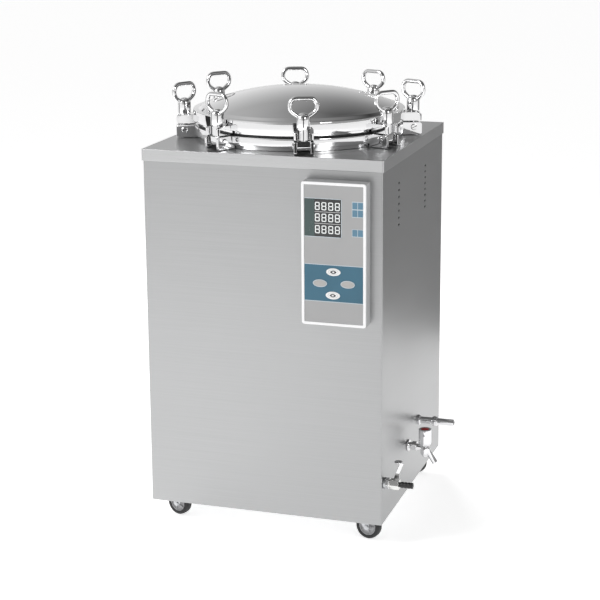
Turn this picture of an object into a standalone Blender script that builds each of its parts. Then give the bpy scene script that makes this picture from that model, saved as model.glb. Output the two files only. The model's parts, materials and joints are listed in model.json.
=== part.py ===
"""A floor-standing, top-loading vertical autoclave with a lid held by eight swing bolts.

Units are metres and +Z is up. The front faces -Y. Each object is one physical piece. The pieces are placed
from the cabinet's own axis, and an empty called "cabinet_axis" moves them so that the origin is on the floor
under the middle of the whole footprint, fittings included.
"""

import math

import bmesh
import bpy
from mathutils import Matrix, Vector

# Cabinet
CABINET_SIZE = 0.590  # the cover's width and depth
CABINET_BOTTOM = 0.057  # lower edge of the sheet above the floor
DECK = 0.931  # top of the cover above the floor
SHEET = 0.0015
COVER_RIM = 0.028
COVER_OVERHANG = 0.003
CORNER_RADIUS = 0.004
GAP = 0.0003  # between pieces that touch
TRAY_BOTTOM = 0.080

# Chamber
CHAMBER_RADIUS = 0.220
CHAMBER_DEPTH = 0.650
VESSEL_WALL = 0.003
VESSEL_DISH = 0.060  # depth of the dished bottom
FLANGE_RADIUS = 0.255
FLANGE_BOTTOM = DECK + 0.010
FLANGE_TOP = DECK + 0.0315
NECK_RADIUS = 0.245
DECK_HOLE_RADIUS = 0.232
TURNED_STEPS = 40
FLANGE_LAND = 0.0015  # bevel of the flange's and the lid ring's edges

# Inside the chamber, measured from its floor
HEATER_TUBE = 0.006
HEATER_LOOP = 0.130
HEATER_LEGS = (-0.030, 0.030)
HEATER_Y = -0.130
HEATER_DROP = 0.018
RACK_RADIUS = 0.205
RACK_RISE = 0.036
RACK_THICKNESS = 0.003
RACK_FOOT_CIRCLE = 0.165
BASKET_RADIUS = 0.195
BASKET_HEIGHT = 0.420
BASKET_WALL = 0.002
BASKET_RIM = 0.004

# Lid
LID_LIP_BOTTOM = DECK + 0.0363
LID_RING_BOTTOM = DECK + 0.044
LID_RING_TOP = DECK + 0.070
LID_RING_RADIUS = 0.259
LID_LIP_RADIUS = 0.250
LID_BAND_RADIUS = 0.246
DOME_RADIUS = 0.236
DOME_EDGE = DECK + 0.077
DOME_TOP = DECK + 0.121
LID_WALL = 0.0035
GASKET_INNER = 0.224
GASKET_OUTER = 0.247

# Clamps, measured in each clamp's own frame: +X outward, +Y along the hinge pin, +Z up, origin on the pin
CLAMP_COUNT = 8
CLAMP_CIRCLE = 0.280
FIRST_CLAMP = 20.0  # degrees from the front, turning towards the right side
NUT_TURNS = (0, -13, 46, 4, 0, -15, -48, 0)  # degrees that each ring is turned from the lid's tangent
PIN_HEIGHT = 0.020  # above the deck
PIN_RADIUS = 0.005
EAR_HALF_WIDTH = 0.023
EAR_HALF_GAP = 0.0158
EAR_REACH = 0.020
EAR_BOTTOM = -0.0185
EAR_TOP = 0.012
EYE_HALF_WIDTH = 0.0155
EYE_RADIUS = 0.0125
EYE_TOP = 0.0122
EYE_SWING = 0.0146  # the eye's inner top corner is cut to this radius, to pass under the lug
SHANK_RADIUS = 0.007
SHANK_TOP = 0.064
LUG_BOTTOM = 0.015
LUG_TOP = 0.0372
LUG_REACH = 0.019
LUG_SLOPE_START = 0.002
LUG_END_TOP = 0.0315
SLOT_HALF_WIDTH = 0.0135
COLLAR_RADIUS = 0.0125
COLLAR_BOTTOM = 0.0134
BOSS_RADIUS = 0.0155
BOSS_BOTTOM = 0.038
BOSS_SHOULDER = 0.0655
BOSS_TOP = 0.076
RING_WIRE = 0.005
RING_HALF_BAR = 0.016
RING_BEND = 0.0155
RING_CENTRE = 0.095
CLAMP_STEPS = 12

# Casters, measured from each swivel axis
CASTER_X = 0.225
CASTER_Y = 0.232
CASTER_TRAIL = 0.022
WHEEL_RADIUS = 0.031
WHEEL_HALF_WIDTH = 0.011
AXLE_RADIUS = 0.004
FORK_INNER = 0.0125
FORK_OUTER = 0.015
FORK_CROWN = 0.0655
CASTER_PLACES = {  # side of the cabinet, end of the cabinet, and the direction of the trail in degrees
    "front_left": (-1, -1, 162.0),
    "front_right": (1, -1, -12.0),
    "rear_left": (-1, 1, 170.0),
    "rear_right": (1, 1, -20.0),
}

# Control box on the front
PANEL_X = 0.1875
PANEL_TOP = 0.882
PANEL_WIDTH = 0.153
PANEL_HEIGHT = 0.334
PANEL_DEPTH = 0.040
BEZEL_BORDER = 0.0065
BEZEL_THICKNESS = 0.0042
BEZEL_RADIUS = 0.006
OVERLAY_RECESS = 0.0010
OVERLAY_THICKNESS = 0.0020
DISPLAY_SIZE = (0.087, 0.087)
DISPLAY_MIDDLE_Z = 0.800
KEY_SIZE = (0.034, 0.018)
KEY_THICKNESS = 0.0040
KEY_PROUD = 0.0010
KEY_PLACES = {
    "key_up": (0.187, 0.675),
    "key_down": (0.1857, 0.620),
    "key_left": (0.155, 0.647),
    "key_right": (0.221, 0.648),
}

# Fittings on the right side: distance from the cabinet's middle towards the back, and height
DRAIN_Y, DRAIN_Z = -0.270, 0.156
TAP_Y, TAP_Z = -0.042, 0.172
NOZZLE_Y, NOZZLE_Z = 0.061, 0.205
NOZZLE_REACH = 0.0925
GLAND_X, GLAND_Z = -0.200, 0.150
GLAND_REACH = 0.028
FITTING_STEPS = 12

# Louvre slots on the right side: distance towards the back, height of the top slot, pitch and count
LOUVRES = ((-0.146, 0.853, 0.0165, 7), (0.110, 0.850, 0.0148, 8))
LOUVRE_SIZE = (0.014, 0.005)

HALF = CABINET_SIZE / 2
WRAP = HALF - COVER_OVERHANG  # outer face of the wrap
CABINET_X = (HALF - (WRAP + NOZZLE_REACH)) / 2
CABINET_Y = ((WRAP + PANEL_DEPTH) - (WRAP + GLAND_REACH)) / 2
PANEL_FRONT = -WRAP - PANEL_DEPTH
CHAMBER_FLOOR = FLANGE_TOP - CHAMBER_DEPTH
HEATER_Z = CHAMBER_FLOOR - HEATER_DROP
RACK_TOP = CHAMBER_FLOOR + RACK_RISE


# ---------------------------------------------------------------- scene and materials

def clear_scene():
    for obj in list(bpy.data.objects):
        bpy.data.objects.remove(obj, do_unlink=True)


def new_collection(name):
    collection = bpy.data.collections.new(name)
    bpy.context.scene.collection.children.link(collection)
    return collection


def make_material(name, colour, roughness, metallic=0.0, alpha=1.0):
    material = bpy.data.materials.new(name)
    material.use_nodes = True
    shader = material.node_tree.nodes["Principled BSDF"]
    shader.inputs["Base Color"].default_value = (*colour, 1.0)
    shader.inputs["Roughness"].default_value = roughness
    shader.inputs["Metallic"].default_value = metallic
    shader.inputs["Alpha"].default_value = alpha
    material.diffuse_color = (*colour, alpha)
    return material


# ---------------------------------------------------------------- shapes

def object_of(name, mesh, material=None):
    obj = bpy.data.objects.new(name, mesh)
    PARTS.objects.link(obj)
    if material:
        mesh.materials.clear()
        mesh.materials.append(material)
    return obj


def mesh_of(name, bm):
    mesh = bpy.data.meshes.new(name)
    bmesh.ops.recalc_face_normals(bm, faces=bm.faces)
    bm.to_mesh(mesh)
    bm.free()
    return mesh


def add_box(bm, low, high):
    """A box between two corners."""
    made = bmesh.ops.create_cube(bm, size=1.0)["verts"]
    size = Vector(high) - Vector(low)
    middle = (Vector(high) + Vector(low)) / 2
    bmesh.ops.scale(bm, vec=size, verts=made)
    bmesh.ops.translate(bm, vec=middle, verts=made)
    return made


def add_rod(bm, start, end, radius, steps, end_radius=None):
    """A straight cylinder or cone between two points."""
    start, end = Vector(start), Vector(end)
    along = end - start
    made = bmesh.ops.create_cone(
        bm, cap_ends=True, segments=steps, radius1=radius,
        radius2=radius if end_radius is None else end_radius, depth=along.length,
    )["verts"]
    turn = Vector((0, 0, 1)).rotation_difference(along).to_matrix().to_4x4()
    bmesh.ops.transform(bm, matrix=Matrix.Translation((start + end) / 2) @ turn, verts=made)
    return made


def boxes(name, corners, material=None):
    bm = bmesh.new()
    for low, high in corners:
        add_box(bm, low, high)
    return object_of(name, mesh_of(name, bm), material)


def rods(name, ends, steps, material=None):
    """Cylinders, each given as start, end and radius."""
    bm = bmesh.new()
    for start, end, radius in ends:
        add_rod(bm, start, end, radius, steps)
    return object_of(name, mesh_of(name, bm), material)


def turned(name, profile, steps, material=None):
    """A profile of radius and height, from the top of its outer side, turned round Z."""
    mesh = bpy.data.meshes.new(name)
    points = [(radius, 0.0, height) for radius, height in profile]
    edges = [(i, i + 1) for i in range(len(points) - 1)]
    mesh.from_pydata(points, edges, [])
    obj = object_of(name, mesh, material)
    screw = obj.modifiers.new("turn", "SCREW")
    screw.steps = steps
    screw.render_steps = steps
    screw.use_merge_vertices = True
    screw.merge_threshold = 0.00001
    return obj


def turned_ring(name, profile, steps, material=None):
    """A closed profile turned round Z, which makes a ring."""
    return turned(name, list(profile) + [profile[0]], steps, material)


def slab(name, outline, thickness, material=None):
    """A flat outline of X and Y points, thick along Z and centred on it."""
    curve = bpy.data.curves.new(name, "CURVE")
    curve.dimensions = "2D"
    curve.fill_mode = "BOTH"
    curve.extrude = thickness / 2
    spline = curve.splines.new("POLY")
    spline.points.add(len(outline) - 1)
    for point, (x, y) in zip(spline.points, outline):
        point.co = (x, y, 0.0, 1.0)
    spline.use_cyclic_u = True
    return curve_to_mesh(name, curve, material)


def wire(name, points, radius, resolution, material=None):
    """A round wire or tube through the given points."""
    curve = bpy.data.curves.new(name, "CURVE")
    curve.dimensions = "3D"
    curve.bevel_depth = radius
    curve.bevel_resolution = resolution
    curve.use_fill_caps = True
    spline = curve.splines.new("POLY")
    spline.points.add(len(points) - 1)
    for point, place in zip(spline.points, points):
        point.co = (*place, 1.0)
    return curve_to_mesh(name, curve, material)


def curve_to_mesh(name, curve, material):
    """The curve's solid as a mesh object, with its loose caps welded on."""
    guide = bpy.data.objects.new(name + "_guide", curve)
    PARTS.objects.link(guide)
    mesh = evaluated_mesh(guide)
    bpy.data.objects.remove(guide, do_unlink=True)
    bm = bmesh.new()
    bm.from_mesh(mesh)
    bmesh.ops.remove_doubles(bm, verts=bm.verts, dist=0.00001)
    bpy.data.meshes.remove(mesh)
    return object_of(name, mesh_of(name, bm), material)


def evaluated_mesh(obj):
    bpy.context.view_layer.update()
    graph = bpy.context.evaluated_depsgraph_get()
    return bpy.data.meshes.new_from_object(obj.evaluated_get(graph))


def arc(centre, radius, start, end, steps):
    """Points on an arc, with its angles in degrees."""
    turns = [math.radians(start + (end - start) * i / steps) for i in range(steps + 1)]
    return [(centre[0] + radius * math.cos(a), centre[1] + radius * math.sin(a)) for a in turns]


def rounded_rectangle(width, height, radius, steps):
    x, y = width / 2 - radius, height / 2 - radius
    corners = ((x, y, 0), (-x, y, 90), (-x, -y, 180), (x, -y, 270))
    return [p for cx, cy, start in corners for p in arc((cx, cy), radius, start, start + 90, steps)]


def combine(obj, other, operation):
    """Joins another object to this one, or cuts it away, and keeps it as a hidden helper."""
    modifier = obj.modifiers.new(operation.lower(), "BOOLEAN")
    modifier.operation = operation
    modifier.solver = "EXACT"
    modifier.object = other
    other.hide_render = True
    other.display_type = "WIRE"
    PARTS.objects.unlink(other)
    HELPERS.objects.link(other)
    return obj


def cut(obj, other):
    return combine(obj, other, "DIFFERENCE")


def join(obj, other):
    return combine(obj, other, "UNION")


def finished_mesh(obj):
    """The object's mesh with its modifiers applied. The object itself is removed."""
    mesh = evaluated_mesh(obj)
    bpy.data.objects.remove(obj, do_unlink=True)
    return mesh


def lay_along(obj, axis):
    """Turns an object made along +Z so that it points along another axis."""
    obj.rotation_euler = {"+X": (0, math.pi / 2, 0), "-Y": (math.pi / 2, 0, 0), "+Y": (-math.pi / 2, 0, 0)}[axis]
    return obj


# ---------------------------------------------------------------- cabinet

def make_cabinet_wrap():
    """Front and sides in one sheet, open at the back."""
    back = WRAP - SHEET - GAP
    path = [(-WRAP, back)]
    path += arc((-WRAP + CORNER_RADIUS, -WRAP + CORNER_RADIUS), CORNER_RADIUS, 180, 270, 3)
    path += arc((WRAP - CORNER_RADIUS, -WRAP + CORNER_RADIUS), CORNER_RADIUS, 270, 360, 3)
    path += [(WRAP, back)]
    bm = bmesh.new()
    line = [bm.verts.new((x, y, CABINET_BOTTOM)) for x, y in path]
    edges = [bm.edges.new(pair) for pair in zip(line, line[1:])]
    raised = bmesh.ops.extrude_edge_only(bm, edges=edges)["geom"]
    height = DECK - SHEET - 2 * GAP - CABINET_BOTTOM
    bmesh.ops.translate(bm, vec=(0, 0, height), verts=[v for v in raised if isinstance(v, bmesh.types.BMVert)])
    wrap = object_of("cabinet_wrap", mesh_of("cabinet_wrap", bm), STEEL)
    shell = wrap.modifiers.new("sheet", "SOLIDIFY")
    shell.thickness = SHEET
    shell.offset = -1 if faces_outward(wrap.data) else 1
    half_y, half_z = LOUVRE_SIZE[0] / 2, LOUVRE_SIZE[1] / 2
    slots = []
    for y, top, pitch, count in LOUVRES:
        for i in range(count):
            z = top - pitch * i
            slots.append(((WRAP - 0.01, y - half_y, z - half_z), (WRAP + 0.01, y + half_y, z + half_z)))
    cut(wrap, boxes("louvre_cutter", slots))
    bores = ((DRAIN_Y, DRAIN_Z, 0.0095), (TAP_Y, TAP_Z, 0.0095), (NOZZLE_Y, NOZZLE_Z, 0.0095))
    ends = [((WRAP - 0.01, y, z), (WRAP + 0.01, y, z), radius) for y, z, radius in bores]
    cut(wrap, rods("pipe_hole_cutter", ends, FITTING_STEPS))
    return wrap


def faces_outward(mesh):
    """True where a sheet's faces point away from the cabinet's axis."""
    return sum(face.center.xy.dot(face.normal.xy) for face in mesh.polygons) > 0


def make_rear_panel():
    half = WRAP - 0.0005
    low = (-half, WRAP - SHEET, CABINET_BOTTOM)
    panel = boxes("rear_panel", [(low, (half, WRAP, DECK - SHEET - 2 * GAP))], STEEL)
    slots = []
    for x in (-0.16, 0.16):
        for i in range(6):
            z = 0.80 - 0.028 * i
            slots.append(((x - 0.045, WRAP - 0.01, z - 0.003), (x + 0.045, WRAP + 0.01, z + 0.003)))
    cut(panel, boxes("rear_slot_cutter", slots))
    hole = ((GLAND_X, WRAP - 0.01, GLAND_Z), (GLAND_X, WRAP + 0.01, GLAND_Z), 0.0108)
    cut(panel, rods("gland_hole_cutter", [hole], FITTING_STEPS))
    return panel


def make_top_cover():
    outline = rounded_rectangle(CABINET_SIZE, CABINET_SIZE, CORNER_RADIUS, 3)
    cover = slab("top_cover", outline, COVER_RIM, STEEL)
    cover.location.z = DECK - COVER_RIM / 2
    inside = rounded_rectangle(CABINET_SIZE - 2 * SHEET, CABINET_SIZE - 2 * SHEET, CORNER_RADIUS - SHEET, 3)
    hollow = slab("cover_hollow_cutter", inside, COVER_RIM)
    hollow.location.z = DECK - COVER_RIM / 2 - SHEET
    cut(cover, hollow)
    hole = ((0, 0, DECK - 0.01), (0, 0, DECK + 0.01), DECK_HOLE_RADIUS)
    cut(cover, rods("deck_hole_cutter", [hole], TURNED_STEPS))
    return cover


def make_base_tray():
    """A tray with turned-up edges, open above."""
    half = WRAP - SHEET - 0.0012
    low = (-half, -half, TRAY_BOTTOM)
    tray = boxes("base_tray", [(low, (half, half, TRAY_BOTTOM + 0.025))], STEEL)
    inner = half - 0.002
    low = (-inner, -inner, TRAY_BOTTOM + 0.002)
    cut(tray, boxes("tray_hollow_cutter", [(low, (inner, inner, TRAY_BOTTOM + 0.05))]))
    return tray


# ---------------------------------------------------------------- casters

def caster_fork_mesh():
    """Swivel head, crown, two cheeks and the axle, with the swivel axis on Z."""
    top = TRAY_BOTTOM - GAP
    fork = rods("fork_head", [((0, 0, FORK_CROWN), (0, 0, top), 0.021)], FITTING_STEPS)
    crown = ((-0.016, -FORK_OUTER, FORK_CROWN), (0.026, FORK_OUTER, FORK_CROWN + 0.0025))
    join(fork, boxes("fork_crown", [crown]))
    x, z = CASTER_TRAIL, WHEEL_RADIUS
    outline = arc((x, z), 0.0085, -170, -10, 6) + [(0.026, FORK_CROWN + 0.0025), (-0.010, FORK_CROWN + 0.0025)]
    for side in (-1, 1):
        cheek = slab("fork_cheek", outline, FORK_OUTER - FORK_INNER)
        cheek.rotation_euler = (math.pi / 2, 0, 0)
        cheek.location.y = side * (FORK_OUTER + FORK_INNER) / 2
        join(fork, cheek)
    axle = ((x, -FORK_OUTER - 0.003, z), (x, FORK_OUTER + 0.003, z), AXLE_RADIUS)
    join(fork, rods("fork_axle", [axle], 12))
    return finished_mesh(fork)


def caster_wheel_mesh():
    """Tyre and hub, turned about the axle."""
    r, w, bore, hub = WHEEL_RADIUS, WHEEL_HALF_WIDTH, AXLE_RADIUS + GAP, 0.015
    profile = [(r, w - 0.003), (r, -w + 0.003), (r - 0.003, -w), (hub, -w)]
    profile += [(hub, -w + 0.003), (bore, -w + 0.003), (bore, w - 0.003), (hub, w - 0.003), (hub, w), (r - 0.003, w)]
    wheel = turned_ring("wheel_shape", profile, 20)
    wheel.rotation_euler = (math.pi / 2, 0, 0)
    mesh = finished_mesh(wheel)
    mesh.transform(Matrix.Rotation(math.pi / 2, 4, "X"))
    return mesh


def make_casters():
    fork_mesh, wheel_mesh = caster_fork_mesh(), caster_wheel_mesh()
    for place, (side, end, heading) in CASTER_PLACES.items():
        swivel = empty("caster_swivel_" + place, (side * CASTER_X, end * CASTER_Y, 0), ROOT)
        swivel.rotation_euler.z = math.radians(heading)
        fork = object_of("caster_fork_" + place, fork_mesh, ZINC)
        fork.parent = swivel
        wheel = object_of("caster_wheel_" + place, wheel_mesh, TYRE)
        wheel.parent = swivel
        wheel.location = (CASTER_TRAIL, 0, WHEEL_RADIUS)


# ---------------------------------------------------------------- chamber and lid

def dish(radius, depth, height, steps):
    """An elliptical bottom's points, from the axis out to the wall."""
    angles = [math.pi / 2 * i / steps for i in range(steps + 1)]
    return [(radius * math.sin(a), height - depth * math.cos(a)) for a in angles]


def clamp_frame(index):
    """Places a clamp's own frame, with its origin on the hinge pin."""
    azimuth = math.radians(FIRST_CLAMP + 360 / CLAMP_COUNT * index)
    place = Vector((CLAMP_CIRCLE * math.sin(azimuth), -CLAMP_CIRCLE * math.cos(azimuth), DECK + PIN_HEIGHT))
    return Matrix.Translation(place) @ Matrix.Rotation(azimuth - math.pi / 2, 4, "Z")


def around_clamps(name, add_shapes):
    """One object holding the same shapes at every clamp."""
    bm = bmesh.new()
    for index in range(CLAMP_COUNT):
        bmesh.ops.transform(bm, matrix=clamp_frame(index), verts=add_shapes(bm))
    return object_of(name, mesh_of(name, bm))


def ear_shapes(bm):
    made = []
    for near, far in ((-EAR_HALF_WIDTH, -EAR_HALF_GAP), (EAR_HALF_GAP, EAR_HALF_WIDTH)):
        made += add_box(bm, (-0.032, near, EAR_BOTTOM), (EAR_REACH, far, EAR_TOP))
    return made


def ear_bores(bm):
    return add_rod(bm, (0, -0.03, 0), (0, 0.03, 0), PIN_RADIUS + 0.0006, 8)


def make_pressure_vessel():
    inner = dish(CHAMBER_RADIUS, VESSEL_DISH, CHAMBER_FLOOR, 5)
    outer_radius = CHAMBER_RADIUS + VESSEL_WALL
    outer = dish(outer_radius, VESSEL_DISH + VESSEL_WALL, CHAMBER_FLOOR, 5)
    rim = [(CHAMBER_RADIUS, FLANGE_TOP), (FLANGE_RADIUS - FLANGE_LAND, FLANGE_TOP)]
    rim += [(FLANGE_RADIUS, FLANGE_TOP - FLANGE_LAND)]
    rim += [(FLANGE_RADIUS, FLANGE_BOTTOM), (NECK_RADIUS, FLANGE_BOTTOM), (NECK_RADIUS, DECK + GAP)]
    rim += [(outer_radius + 0.004, DECK + GAP), (outer_radius + 0.004, DECK - 0.03), (outer_radius, DECK - 0.034)]
    vessel = turned("pressure_vessel", inner + rim + outer[::-1], TURNED_STEPS, MIRROR_STEEL)
    join(vessel, around_clamps("ear_helper", ear_shapes))
    cut(vessel, around_clamps("ear_bore_cutter", ear_bores))
    legs = [((x, HEATER_Y, CHAMBER_FLOOR - 0.1), (x, HEATER_Y, CHAMBER_FLOOR), HEATER_TUBE + 0.0010) for x in HEATER_LEGS]
    legs.append(((0, 0, CHAMBER_FLOOR - 0.1), (0, 0, CHAMBER_FLOOR), 0.005))
    cut(vessel, rods("heater_bore_cutter", legs, 8))
    return vessel


def make_vessel_skirt():
    """A ring wall under the dished bottom, with arched openings for air and pipes."""
    radius, wall = 0.205, 0.003
    outer = CHAMBER_RADIUS + VESSEL_WALL
    meets = CHAMBER_FLOOR - (VESSEL_DISH + VESSEL_WALL) * math.sqrt(1 - (radius / outer) ** 2)
    low, high = TRAY_BOTTOM + 0.002 + GAP, meets - 0.003
    profile = [(radius, high), (radius, low), (radius - wall, low), (radius - wall, high)]
    skirt = turned_ring("vessel_skirt", profile, 24, STEEL)
    for name, turn in (("skirt_door_cutter", 45), ("skirt_cross_door_cutter", 135)):
        doors = boxes(name, [((-0.3, -0.06, low + 0.03), (0.3, 0.06, low + 0.12))])
        doors.rotation_euler.z = math.radians(turn)
        cut(skirt, doors)
    return skirt


def dome(edge_radius, edge_height, top_height, steps):
    """A shallow dome's points, from its top out to its edge, on one sphere."""
    rise = top_height - edge_height
    ball = (edge_radius**2 + rise**2) / (2 * rise)
    widest = math.asin(edge_radius / ball)
    angles = [widest * i / steps for i in range(steps + 1)]
    return [(ball * math.sin(a), top_height - ball * (1 - math.cos(a))) for a in angles]


def lug_shape():
    """The eight forks that the swing bolts lie in, before their slots are cut."""
    outline = [(-0.0275, LUG_BOTTOM), (LUG_REACH, LUG_BOTTOM), (LUG_REACH, LUG_END_TOP)]
    outline += [(LUG_SLOPE_START, LUG_TOP), (-0.0275, LUG_TOP)]
    lug = slab("lug_outline", outline, 2 * EAR_HALF_WIDTH)
    lug.rotation_euler = (math.pi / 2, 0, 0)
    mesh = finished_mesh(lug)
    mesh.transform(Matrix.Rotation(math.pi / 2, 4, "X"))
    bm = bmesh.new()
    for index in range(CLAMP_COUNT):
        before = set(bm.verts)
        bm.from_mesh(mesh)
        bmesh.ops.transform(bm, matrix=clamp_frame(index), verts=[v for v in bm.verts if v not in before])
    return object_of("lug_helper", mesh_of("lug_helper", bm))


def slot_boxes(bm):
    return add_box(bm, (0, -SLOT_HALF_WIDTH, 0), (0.06, SLOT_HALF_WIDTH, 0.06))


def slot_ends(bm):
    return add_rod(bm, (0, 0, 0.001), (0, 0, 0.059), SLOT_HALF_WIDTH, 16)


def make_lid():
    outside = dome(DOME_RADIUS, DOME_EDGE, DOME_TOP, 6)
    ring = [(DOME_RADIUS + 0.002, DOME_EDGE - 0.001), (LID_BAND_RADIUS, LID_RING_TOP)]
    ring += [(LID_RING_RADIUS - FLANGE_LAND, LID_RING_TOP)]
    ring += [(LID_RING_RADIUS, LID_RING_TOP - FLANGE_LAND), (LID_RING_RADIUS, LID_RING_BOTTOM)]
    ring += [(LID_LIP_RADIUS, LID_RING_BOTTOM), (LID_LIP_RADIUS, LID_LIP_BOTTOM)]
    ring += [(CHAMBER_RADIUS + 0.002, LID_LIP_BOTTOM)]
    inside = dome(CHAMBER_RADIUS + 0.002, DOME_EDGE - 0.004, DOME_TOP - LID_WALL, 4)
    lid = turned("lid", outside + ring + inside[::-1], TURNED_STEPS, MIRROR_STEEL)
    join(lid, lug_shape())
    cut(lid, around_clamps("slot_cutter", slot_boxes))
    cut(lid, around_clamps("slot_end_cutter", slot_ends))
    return lid


def make_lid_gasket():
    low, high = FLANGE_TOP + GAP, LID_LIP_BOTTOM - GAP
    profile = [(GASKET_OUTER, high), (GASKET_OUTER, low), (GASKET_INNER, low), (GASKET_INNER, high)]
    return turned_ring("lid_gasket", profile, TURNED_STEPS, SEAL_RUBBER)


def make_heating_element():
    """One open loop with two legs that leave through the dished bottom."""
    middle = (0.0, 0.0)
    gap = math.degrees(math.asin(HEATER_LEGS[1] / HEATER_LOOP))
    loop = arc(middle, HEATER_LOOP, -90 + gap, 270 - gap, 24)
    points = [(x, y, HEATER_Z) for x, y in loop]
    right, left = points[0], points[-1]
    bottom = CHAMBER_FLOOR - 0.085
    points = [(HEATER_LEGS[1], HEATER_Y, bottom), (HEATER_LEGS[1], HEATER_Y, HEATER_Z - 0.004), right] + points[1:-1]
    points += [left, (HEATER_LEGS[0], HEATER_Y, HEATER_Z - 0.004), (HEATER_LEGS[0], HEATER_Y, bottom)]
    return wire("heating_element", points, HEATER_TUBE, 1, HEATER_STEEL)


def make_chamber_rack():
    """A perforated plate on three feet."""
    profile = ((0, 0, RACK_TOP - RACK_THICKNESS), (0, 0, RACK_TOP), RACK_RADIUS)
    rack = rods("chamber_rack", [profile], 32, STEEL)
    floor = CHAMBER_FLOOR - VESSEL_DISH * math.sqrt(1 - ((RACK_FOOT_CIRCLE + 0.008) / CHAMBER_RADIUS) ** 2) + 0.002
    feet = []
    holes = []
    for i in range(3):
        a = math.radians(30 + 120 * i)
        x, y = RACK_FOOT_CIRCLE * math.cos(a), RACK_FOOT_CIRCLE * math.sin(a)
        feet.append(((x, y, floor), (x, y, RACK_TOP - 0.001), 0.006))
    for circle, count in ((0.06, 6), (0.12, 6)):
        for i in range(count):
            a = 2 * math.pi * i / count
            x, y = circle * math.cos(a), circle * math.sin(a)
            holes.append(((x, y, RACK_TOP - 0.01), (x, y, RACK_TOP + 0.01), 0.012))
    join(rack, rods("rack_feet", feet, 10))
    cut(rack, rods("rack_hole_cutter", holes, 8))
    return rack


def make_sterilizing_basket():
    """A round basket with upright slots and a rolled rim."""
    low = RACK_TOP + GAP
    high = low + BASKET_HEIGHT
    inner = BASKET_RADIUS - BASKET_WALL
    rim = BASKET_RADIUS + BASKET_RIM
    profile = [(0, low + BASKET_WALL), (inner, low + BASKET_WALL), (inner, high), (rim, high)]
    profile += [(rim, high - 2 * BASKET_RIM), (BASKET_RADIUS, high - 2 * BASKET_RIM), (BASKET_RADIUS, low), (0, low)]
    basket = turned("sterilizing_basket", profile, 32, STEEL)
    rows = ((low + 0.03, low + 0.20), (low + 0.22, low + 0.39))
    bm = bmesh.new()
    for i in range(6):
        turn = Matrix.Rotation(math.radians(15 + 30 * i), 4, "Z")
        for bottom, top in rows:
            made = add_box(bm, (-0.25, -0.006, bottom), (0.25, 0.006, top))
            bmesh.ops.transform(bm, matrix=turn, verts=made)
    slots = object_of("basket_slot_cutter", mesh_of("basket_slot_cutter", bm))
    core = rods("basket_slot_core", [((0, 0, low + 0.01), (0, 0, high), inner - 0.01)], 32)
    cut(slots, core)
    modifier_uses_self(slots)
    cut(basket, slots)
    return basket


def modifier_uses_self(obj):
    """Lets a Boolean work on a mesh whose own shapes cross each other."""
    for modifier in obj.modifiers:
        modifier.use_self = True


# ---------------------------------------------------------------- clamps

def clamp_bolt_mesh():
    """The swing bolt: a square eye with a round bottom and a cut inner corner, and its shank."""
    cut_x, cut_z = math.sqrt(EYE_SWING**2 - EYE_TOP**2), math.sqrt(EYE_SWING**2 - EYE_RADIUS**2)
    outline = arc((0, 0), EYE_RADIUS, 180, 360, 6) + [(EYE_RADIUS, EYE_TOP), (-cut_x, EYE_TOP), (-EYE_RADIUS, cut_z)]
    eye = slab("bolt_eye", outline, 2 * EYE_HALF_WIDTH)
    eye.rotation_euler = (math.pi / 2, 0, 0)
    bolt_shank = ((0, 0, EYE_TOP - 0.003), (0, 0, SHANK_TOP), SHANK_RADIUS)
    bolt = rods("bolt_shape", [bolt_shank], CLAMP_STEPS)
    join(bolt, eye)
    bore = ((0, -0.03, 0), (0, 0.03, 0), PIN_RADIUS + 0.0004)
    cut(bolt, rods("eye_bore_cutter", [bore], CLAMP_STEPS))
    return finished_mesh(bolt)


def eye_nut_mesh():
    """A nut with a collar, a domed boss and a D-shaped ring."""
    bore, bore_top = SHANK_RADIUS + 0.0006, SHANK_TOP + 0.001
    profile = [(0, BOSS_TOP), (0.009, BOSS_TOP - 0.0012), (0.0132, BOSS_TOP - 0.0045), (0.0150, BOSS_SHOULDER + 0.003)]
    profile += [(BOSS_RADIUS, BOSS_SHOULDER), (BOSS_RADIUS, BOSS_BOTTOM), (COLLAR_RADIUS, BOSS_BOTTOM)]
    profile += [(COLLAR_RADIUS, COLLAR_BOTTOM), (bore, COLLAR_BOTTOM), (bore, bore_top), (0, bore_top)]
    nut = turned("nut_shape", profile, CLAMP_STEPS)
    side = arc((RING_HALF_BAR, RING_CENTRE), RING_BEND, -45, 90, 5)
    foot = (0.0115, BOSS_SHOULDER)
    half = [foot] + side
    points = [(0.0, y, z) for y, z in half] + [(0.0, -y, z) for y, z in reversed(half)]
    join(nut, wire("nut_ring", points, RING_WIRE, 1))
    return finished_mesh(nut)


def clamp_pin_mesh():
    """A hinge pin with a flat round head at each end."""
    reach, head = EAR_HALF_WIDTH + GAP, 0.003
    profile = [(0, reach + head), (0.0065, reach + head), (0.0075, reach + head - 0.001), (0.0075, reach)]
    profile += [(PIN_RADIUS, reach), (PIN_RADIUS, -reach), (0.0075, -reach), (0.0075, -reach - head + 0.001)]
    profile += [(0.0065, -reach - head), (0, -reach - head)]
    pin = turned("pin_shape", profile, 8)
    mesh = finished_mesh(pin)
    mesh.transform(Matrix.Rotation(math.pi / 2, 4, "X"))
    return mesh


def make_clamps():
    bolt_mesh, nut_mesh, pin_mesh = clamp_bolt_mesh(), eye_nut_mesh(), clamp_pin_mesh()
    for index in range(CLAMP_COUNT):
        number = str(index + 1)
        hinge = empty("clamp_hinge_" + number, (0, 0, 0), ROOT)
        hinge.matrix_local = clamp_frame(index)
        for name, mesh in (("clamp_bolt_", bolt_mesh), ("eye_nut_", nut_mesh), ("clamp_pin_", pin_mesh)):
            piece = object_of(name + number, mesh, MIRROR_STEEL)
            piece.parent = hinge
            if name == "eye_nut_":
                piece.rotation_euler.z = math.radians(NUT_TURNS[index])


# ---------------------------------------------------------------- control box

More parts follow.
